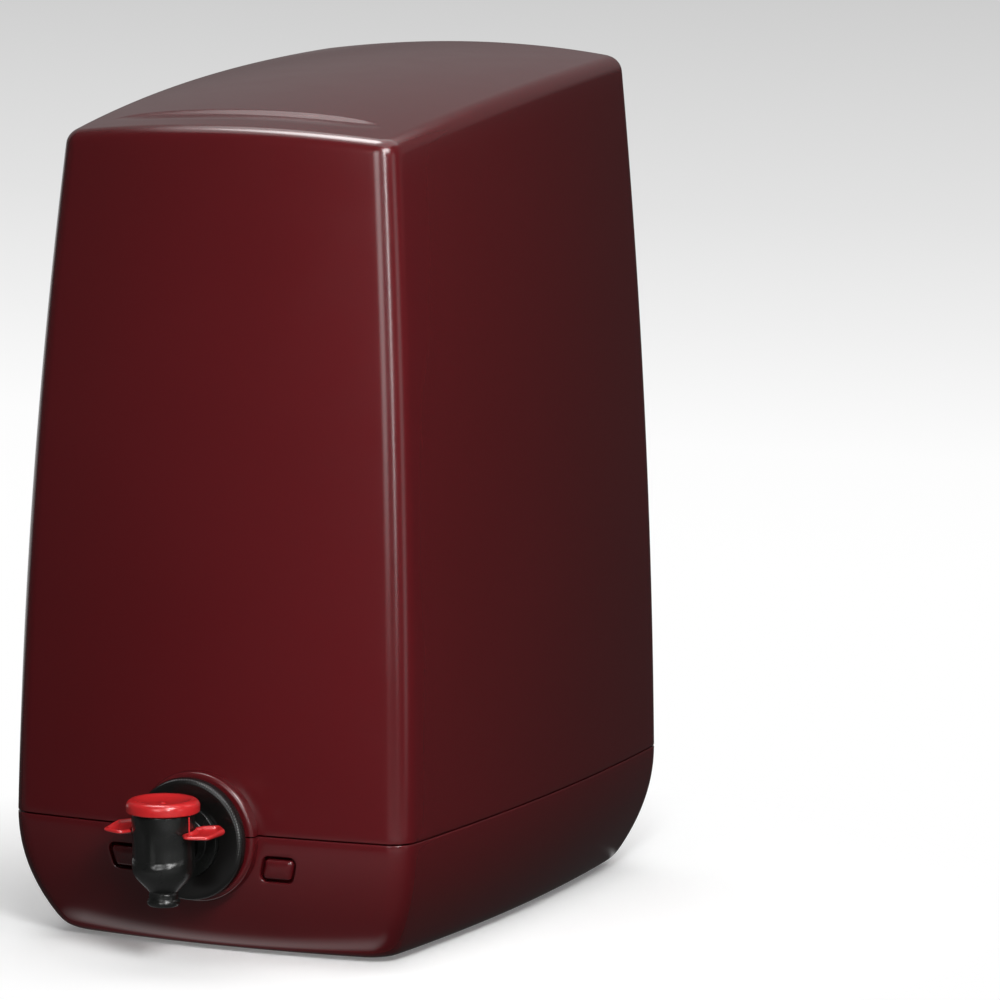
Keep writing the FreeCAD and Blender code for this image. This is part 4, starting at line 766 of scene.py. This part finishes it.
def make_tap():
    """The barrel with its funnel and spout, and the neck that runs back through the disc."""
    bead = SPOUT_BEAD
    outside = arc((SPOUT_LIP - bead, SPOUT_BOTTOM + bead), bead, -88, 52, 14)
    outside += [(SPOUT_LIP - 0.62, SPOUT_BOTTOM + 2.8), (SPOUT_LIP - 0.6, SPOUT_TOP - 0.3),
                (SPOUT_LIP - 0.8, SPOUT_TOP)]
    outside += FUNNEL[::-1]
    outside += [(BARREL, 41.2 + 0.2 * step) for step in range(50)]
    outside += [(BARREL, 51.4 + step) for step in range(10)]
    bore = BARREL - BARREL_WALL
    rim = soften([(BARREL, 61, 0), (BARREL, BARREL_TOP, 0.4), (bore, BARREL_TOP, 0.4), (bore, LEDGE, 0)],
                 closed=False)
    wall = [(radius - BARREL_WALL, height) for radius, height in FUNNEL if radius > SPOUT_BORE + BARREL_WALL]
    seat = SEAT_TOP - 2
    inside = [(9.6, LEDGE), (9.6, SEAT_TOP), (6, SEAT_TOP), (6, seat), (wall[0][0], seat)] + wall[1:]
    inside += [(SPOUT_BORE, 32), (SPOUT_BORE, SPOUT_BOTTOM + 0.3)]
    barrel = lathe("tap_barrel", outside + rim[1:] + inside, y=-TAP_REACH, segments=192, warp=barrel_warp)
    finish_piece(barrel, "tap_black", "base", "tap_body")
    middle, neck, flange, plug, bore = 0.5, 9.5, 14, 11.2, 7.5   # radii
    start, bore_end, flange_front, flange_rear, end = 9.8 - TAP_REACH, -140, -138.9, -136.8, -112.3
    pipe = soften([(middle, start, 0), (neck, start, 0), (neck, flange_front, 0.4),
                   (flange, flange_front, 0.2), (flange, flange_rear, 0.3), (plug, flange_rear, 0),
                   (plug, end, 0.5), (bore, end, 0.3), (bore, bore_end, 0.5), (middle, bore_end, 0)])
    finish_piece(lathe("tap_neck", pipe, z=DISC_HEIGHT, along="y"), "tap_black", "base", "tap_body")


def make_button():
    """The red cap: a bowl with a nub in its middle, a round rim and a skirt over the barrel."""
    dish = BUTTON_TOP - BUTTON_DISH
    rim_inside = BUTTON - BUTTON_EDGE - 0.5
    run = rim_inside - 1.5
    bowl = (run ** 2 + BUTTON_DISH ** 2) / (BUTTON_DISH * 2)
    profile = [(0, dish + 0.5), (0.5, dish + 0.46), (0.9, dish + 0.3), (1.2, dish + 0.08), (1.5, dish)]
    for step in range(1, 17):
        out = run * step / 16
        profile.append((1.5 + out, dish + bowl - math.sqrt(bowl ** 2 - out ** 2)))
    skirt, recess, web, boss = 12.6, 65, 63.2, BUTTON_BOTTOM + 0.05
    profile += soften([(rim_inside + 0.1, BUTTON_TOP - 0.02, 0), (BUTTON, BUTTON_TOP, BUTTON_EDGE),
                       (BUTTON, BUTTON_BOTTOM, 0.7), (skirt, BUTTON_BOTTOM, 0.3), (skirt, recess, 0.3),
                       (9.7, recess, 0.3), (9.7, web, 0.3), (3, web, 0.3), (3, boss, 0.2), (0, boss, 0)],
                      closed=False, steps=8)
    button = lathe("button_cap", profile, y=-TAP_REACH, segments=128, loop=False)
    finish_piece(button, "tap_red", "tap_plunger", "tap_button")


WING_DROOP = 0.42   # share of its thickness that a wing loses towards its front edge
WING_MIDDLE = Vector((17.2, 0.8))
# a wing's rings: share of its outline, share of its thickness
WING_LEVELS = [(0.0, 0.1), (0.5, 0.05), (0.8, 0.0), (0.9, 0.06), (0.965, 0.2), (1.0, 0.4), (1.0, 0.5),
               (0.992, 0.64), (0.974, 0.78), (0.945, 0.9), (0.91, 0.97), (0.87, 1.0), (0.84, 0.985),
               (0.8, 0.91), (0.75, 0.74), (0.69, 0.56), (0.6, 0.46), (0.4, 0.41), (0.0, 0.39)]
BRIDGE_SLIDE, BRIDGE_GAP = 5, 0.6   # how far round a bridge stands, and its place outside the button's rim


def make_wing(side, hand):
    """A dished finger rest with soft edges, thinner towards the front, its root hollowed to the barrel."""
    root = BARREL + 0.1
    half = 5.2
    out = math.sqrt(root ** 2 - half ** 2)
    corners = [(out, -half, 0.3), (13.8, -9.3, 2.2), (22.3, -6.2, 2.4), (22.9, 6.5, 2.4), (17.9, 12.9, 2.2),
               (12.2, 8.8, 2.2), (out, half, 0.3)]
    edge = soften(corners, steps=7)
    span = math.degrees(math.asin(half / root))
    edge += arc((0, 0), root, span, -span, 8)[1:-1]
    low, middle, rings = WING_TOP - WING_THICKNESS, WING_MIDDLE, []
    for share, rise in WING_LEVELS:
        ring = []
        for x, y in (edge if share else [middle]):
            x, y = middle.x + (x - middle.x) * share, middle.y + (y - middle.y) * share
            height = low + WING_THICKNESS * rise * (1 - WING_DROOP * smooth_step(-y, -9, 9))
            ring.append((x * side, y - TAP_REACH, height))
        rings.append(ring)
    finish_piece(skin("wing_" + hand, rings), "tap_red", "base", "finger_wing_" + hand)
    across = math.sqrt((BUTTON + BRIDGE_GAP) ** 2 - BRIDGE_SLIDE ** 2)
    profile = [(0, WING_TOP - 1.4), (0.42, WING_TOP - 1.4), (0.34, WING_TOP + 0.4), (0.3, WING_TOP + 2),
               (0.28, BUTTON_BOTTOM - 0.4), (0.16, BUTTON_BOTTOM - 0.3), (0, BUTTON_BOTTOM - 0.3)]
    stub = lathe("bridge_" + hand, profile, across * side, -TAP_REACH - BRIDGE_SLIDE * side, segments=16,
                 loop=False)
    finish_piece(stub, "tap_red", "base", "finger_wing_" + hand)


# ---------- wine bag, in metres
BAG_VOXEL, PUCKERS, PUCKER_REACH = 0.0024, 14, 0.045
BROAD_FOLD, FINE_FOLD, CREASE, RIDGE, PUCKER = 0.0026, 0.0008, 0.0024, 0.0022, 0.0018   # depths


def make_bag():
    """The foil bag: the CAD solid's form, remeshed and crumpled by folds that only go inwards."""
    bag = add_object("bag_foil_skin", NODES["wine_bag"].data.copy())
    remesh = bag.modifiers.new("remesh", "REMESH")
    remesh.mode = "VOXEL"
    remesh.voxel_size = BAG_VOXEL
    smooth = bag.modifiers.new("smooth", "SMOOTH")
    smooth.factor, smooth.iterations = 0.5, 10
    mesh = apply_modifiers(bag)
    normals = [vertex.normal.copy() for vertex in mesh.vertices]
    gland = Vector((0, -0.108, DISC_HEIGHT * MM))
    for vertex, normal in zip(mesh.vertices, normals):
        place = vertex.co
        broad = abs(noise.fractal(place * 16, 1.0, 2.0, 3))
        fine = 1 - abs(noise.noise(place * 55 + Vector((3, 7, 1))))
        crease = (1 - abs(noise.noise(Vector((place.x * 42, place.y * 16, place.z * 10))))) ** 3
        away = place - gland
        pucker = 0.5 + 0.5 * math.cos(PUCKERS * math.atan2(away.z, away.x))
        near = math.exp(-(away.length / PUCKER_REACH) ** 2)
        slack = 0.35 + 0.65 * smooth_step(place.z, 0.12, 0.22)
        ridge = (1 - abs(noise.noise(place * 24 + Vector((5, 2, 9))))) ** 3
        depth = BROAD_FOLD * broad + FINE_FOLD * fine ** 3 + CREASE * crease * slack + RIDGE * ridge
        depth += PUCKER * pucker * near * smooth_step(away.length, 0.02, 0.035)
        vertex.co = place - normal * depth
    mesh.shade_smooth()
    finish_piece(bag, "bag_film", "base", "wine_bag")


# ---------- hinge pins
def make_hinge_pins():
    """A rod with a flat head at each end."""
    half = HOOD_KNUCKLE / 2 + KNUCKLE_GAP + BASE_KNUCKLE
    end = half + PIN_HEAD_LENGTH
    head = soften([(PIN_RADIUS, half, 0), (PIN_HEAD, half, 0.2), (PIN_HEAD, end, 0.8), (0, end, 0)],
                  closed=False)
    profile = [(radius, -place) for radius, place in head[::-1]] + head
    for side, hand in SIDES:
        pin = lathe("hinge_rod_" + hand, profile, segments=48, loop=False)
        pin.data.transform(Matrix.Translation((HINGE_ACROSS * side * MM, HINGE_PLACE * MM, SEAM * MM))
                           @ Matrix.Rotation(math.pi / 2, 4, "Y"))
        finish_piece(pin, "steel", "base", "hinge_pin_" + hand)


# ---------- springs and the tap's membrane
def make_latch_spring(side, hand):
    """A coil spring with closed ends."""
    rings, per_turn, around = [], 28, 10
    run = SPRING_REAR - SPRING_FRONT - 2 * SPRING_WIRE
    for step in range(per_turn * SPRING_TURNS + 1):
        share = step / (per_turn * SPRING_TURNS)
        angle = 2 * math.pi * SPRING_TURNS * share
        middle = SPRING_FRONT + SPRING_WIRE + run * (0.45 * share + 0.55 * smooth_step(share, 0.06, 0.94))
        ring = []
        for turn in (2 * math.pi * i / around for i in range(around)):
            out = SPRING_RADIUS - SPRING_WIRE + SPRING_WIRE * math.cos(turn)
            ring.append((LATCH_ACROSS * side + out * math.cos(angle), middle + SPRING_WIRE * math.sin(turn),
                         LATCH_HEIGHT + out * math.sin(angle)))
        rings.append(ring)
    coil = skin("spring_coil_" + hand, rings)
    finish_piece(coil, "steel", "base", "latch_spring_" + hand)
    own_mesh(coil)


def make_membrane():
    """The springy rubber dome under the button."""
    foot, top, under = MEMBRANE_FOOT, MEMBRANE_TOP, MEMBRANE_TOP - MEMBRANE_SHELL
    profile = soften([(10.45, foot, 0.2), (10.45, foot + 1.6, 0.5), (9.2, foot + 1.6, 0.5), (6.6, 61.1, 2.0),
                      (4.2, top, 0.6), (MEMBRANE_BORE, top, 0.2), (MEMBRANE_BORE, under, 0.2),
                      (4.0, under, 0.5), (6.1, 60.3, 1.5), (8.85, foot + MEMBRANE_SHELL, 0.3),
                      (8.85, foot, 0.2)])
    dome = lathe("membrane_dome", profile, y=-TAP_REACH, segments=64)
    finish_piece(dome, "seal_rubber", "base", "tap_diaphragm")
    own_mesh(dome)


make_membrane()
make_hood()
make_base()
make_feet()
make_disc()
make_tap()
make_button()
make_bag()
make_hinge_pins()
for side, hand in SIDES:
    make_latch_button(side, hand)
    make_latch_spring(side, hand)
    make_wing(side, hand)


# ---------- studio
NEAR, FAR = 0.125, 0.27     # the floor's shadow fades out between these distances from the middle
FLOOR_LIFT = 0.16           # how light the floor's deepest shadow stays
REFLECTED_GLOW_TONE = 0.055           # the dim level of the glow that only the gloss sees, away from its painted reflections
WORLD_LIGHT, WORLD_GLOSS = 0.13, 0.08
# the lamps: name, azimuth from the front towards the right in degrees, distance and height,
# the place it points at, width, height of its face, watts, spread in degrees, seen in gloss, lights surfaces
LAMPS = [
    ("overhead", 180, 0.35, 1.6, (0, 0.25, 0.1), 1.8, 1.8, 19, 180, True, True),
    ("key", 33, 0.62, 0.36, (0, -0.12, 0.14), 0.14, 0.14, 2.5, 180, False, True),
    ("accent", 30, 0.7, 0.5, (0.12, -0.1, 0.28), 0.13, 0.8, 0.32, 42, False, True),
    ("front_box", 9, 1.5, 0.72, (0.06, -0.12, 0.2), 0.52, 1.15, 1.25, 60, True, False),
    ("strip", 42, 1.4, 0.74, (0.06, -0.12, 0.2), 0.08, 1.2, 1.3, 60, True, False),
    ("card", 78, 1.3, 0.35, (0.08, -0.1, 0.2), 0.35, 0.8, 0.25, 90, True, False),
    ("upper_box", 52, 0.95, 1.0, (0.02, -0.13, 0.05), 0.5, 0.5, 1.8, 60, True, False),
    ("top_box", 250, 0.3, 1.45, (0, -0.15, 0.05), 0.5, 0.5, 1.3, 60, True, False),
]


def tone_ramp(paint, value, stops):
    """A grey that follows a value through (place, level) stops."""
    low, high = stops[0][0], stops[-1][0]
    ramp = paint.node("ShaderNodeValToRGB", {"Fac": paint.ramp(value, 0, 1, low, high)})
    points = ramp.color_ramp.elements
    while len(points) < len(stops):
        points.new(0.5)
    for point, (place, level) in zip(points, stops):
        point.position = (place - low) / (high - low)
        point.color = (level, level, level, 1)
    return ramp.outputs["Color"]


def backdrop_material():
    """Pale to the eye with a soft shadow round the object. To the gloss it is a dim glow standing in for a
    room, with pale patches that paint reflections on the object.
    """
    paint = Paint("backdrop", (0.95, 0.95, 0.95), 0.9, Specular_IOR_Level=0.0,
                  Emission_Color=(1, 1, 1, 1), Emission_Strength=FLOOR_LIFT)
    node, ramp, maths = paint.node, paint.ramp, paint.maths
    geometry = node("ShaderNodeNewGeometry").outputs
    place = geometry["Position"]
    split = node("ShaderNodeSeparateXYZ", {"Vector": place})
    x, y, z = (split.outputs[axis] for axis in "XYZ")

    def length(vector):
        return node("ShaderNodeVectorMath", {0: vector}, operation="LENGTH").outputs["Value"]

    def glow(colour):
        return node("ShaderNodeEmission", {"Color": colour}).outputs["Emission"]

    def blend(share, first, second):
        return node("ShaderNodeMixShader", {0: share, 1: first, 2: second}).outputs["Shader"]

    plain = glow(tone_ramp(paint, z, [(0.0, 1.0), (0.04, 0.98), (0.1, 0.87), (0.166, 0.765), (0.3, 0.61)]))
    far_out = ramp(length(place), 0, 1, NEAR, FAR)
    floor = blend(far_out, paint.shader.outputs["BSDF"], plain)
    # the glow that only the gloss sees: dim, and grey high up; its pale patches low on the left, under the
    # hull and at the right in front are painted reflections, laid there to show as light lines and bands on
    # the housing and the tap
    high = tone_ramp(paint, z, [(0.3, 0.0), (0.6, 0.27), (1.0, 0.315), (1.6, 0.245)])
    # painted reflection: a pale area low on the left behind, which the housing's gloss picks up
    left = maths("MULTIPLY", ramp(x, 0.9, 0, -0.45, -0.2), ramp(y, 0, 1, 0.1, 0.3), ramp(z, 1, 0, 0.2, 0.45))
    off_x, off_y = maths("ABSOLUTE", x, 0), maths("ABSOLUTE", y, 0)
    # painted reflection: a pale strip on the floor just under the hull's rim, which the hull's rounded lower
    # edge shows as a light band
    under = maths("MULTIPLY", ramp(off_y, 1.1, 0, 0.1145, 0.1195), ramp(off_y, 0, 1, 0.1095, 0.1125),
                  ramp(off_x, 1, 0, 0.064, 0.078))
    # painted reflection: a faint pale strip on the floor in front, which the hull's lower front shows
    front = maths("MULTIPLY", ramp(x, 0.15, 0.34, -0.14, -0.03), ramp(y, 1, 0.35, -0.25, -0.13),
                  ramp(y, 0, 1, -0.34, -0.28), ramp(y, 1, 0, -0.12, -0.11))
    # painted reflection: a pale patch at the right in front, which the tap's barrel shows as a light band
    turned = node("ShaderNodeMapping", {"Vector": place, "Location": (0.27, -0.4, 0), "Rotation": (
        0, 0, math.radians(45)), "Scale": (0.3, 0.16, 1)}, vector_type="TEXTURE").outputs["Vector"]
    patch = ramp(length(turned), 0.85, 0, 0.5, 1.1)
    reflected_glow = glow(maths("MAXIMUM", high, left, under, REFLECTED_GLOW_TONE, front, patch))
    rays = node("ShaderNodeLightPath").outputs
    direct = maths("MAXIMUM", rays["Is Camera Ray"], rays["Is Transmission Ray"])
    clear = node("ShaderNodeBsdfTransparent").outputs["BSDF"]   # the wall from behind
    seen = blend(geometry["Backfacing"], blend(direct, reflected_glow, floor), clear)
    paint.feed(paint.tree.nodes["Material Output"].inputs["Surface"], seen)
    return paint.material


def make_backdrop():
    """A floor that sweeps up into a wall behind, in millimetres."""
    front, bend, radius, top, half_width, steps = -3500, 900, 500, 3000, 4000, 24
    profile = [(front, 0), *arc((bend, radius), radius, -90, 0, steps), (bend + radius, top)]
    points = [(x, y, z) for y, z in profile for x in (-half_width, half_width)]
    faces = [(a, a + 1, a + 3, a + 2) for a in range(0, len(points) - 2, 2)]
    sweep = add_mesh("backdrop", points, faces)
    sweep.data.materials.append(backdrop_material())
    sweep.data.flip_normals()


def aim(thing, direction):
    thing.rotation_mode = "QUATERNION"
    thing.rotation_quaternion = direction.to_track_quat("-Z", "Y")


def add_light(name, azimuth, distance, height, target, width, tall, power, spread, glossy, diffuse):
    """A soft box that no camera sees."""
    data = bpy.data.lights.new(name, "AREA")
    data.shape = "RECTANGLE"
    data.size, data.size_y = width, tall
    data.energy = power
    data.spread = math.radians(spread)
    lamp = add_object(name, data)
    angle = math.radians(azimuth)
    lamp.location = (distance * math.sin(angle), -distance * math.cos(angle), height)
    aim(lamp, Vector(target) - lamp.location)
    lamp.visible_camera = False
    lamp.visible_glossy = glossy
    lamp.visible_diffuse = diffuse


def make_world():
    """White to the eye and through clear plastic, dim as a light and in the gloss."""
    world = bpy.data.worlds.new("studio")
    bpy.context.scene.world = world
    world.use_nodes = True
    nodes, links = world.node_tree.nodes, world.node_tree.links
    rays = nodes.new("ShaderNodeLightPath")
    strength = None
    for ray, level in (("Is Glossy Ray", WORLD_GLOSS), ("Is Transmission Ray", 1.0), ("Is Camera Ray", 1.0)):
        choice = nodes.new("ShaderNodeMapRange")
        choice.inputs["To Min"].default_value = WORLD_LIGHT
        choice.inputs["To Max"].default_value = level
        links.new(rays.outputs[ray], choice.inputs["Value"])
        if strength:
            links.new(strength, choice.inputs["To Min"])
        strength = choice.outputs["Result"]
    links.new(strength, nodes["Background"].inputs["Strength"])
    nodes["Background"].inputs["Color"].default_value = (1, 1, 1, 1)


VIEW_AZIMUTH, VIEW_ELEVATION, VIEW_DISTANCE = math.radians(24.81), math.radians(7.79), 2.23125
VIEW_MIDDLE = Vector((0.06792, 0, 0.16501))
LENS, SENSOR = 204.766, 36   # in millimetres


def make_camera():
    level = math.cos(VIEW_ELEVATION)
    back = Vector((math.sin(VIEW_AZIMUTH) * level, -math.cos(VIEW_AZIMUTH) * level, math.sin(VIEW_ELEVATION)))
    data = bpy.data.cameras.new("camera")
    data.sensor_width, data.lens = SENSOR, LENS
    data.clip_start, data.clip_end = 0.05, 20
    camera = add_object("camera", data)
    camera.location = VIEW_MIDDLE + back * VIEW_DISTANCE
    aim(camera, -back)
    bpy.context.scene.camera = camera


make_backdrop()
for lamp in LAMPS:
    add_light(*lamp)
make_world()
make_camera()
bpy.context.scene.view_settings.view_transform = "Standard"
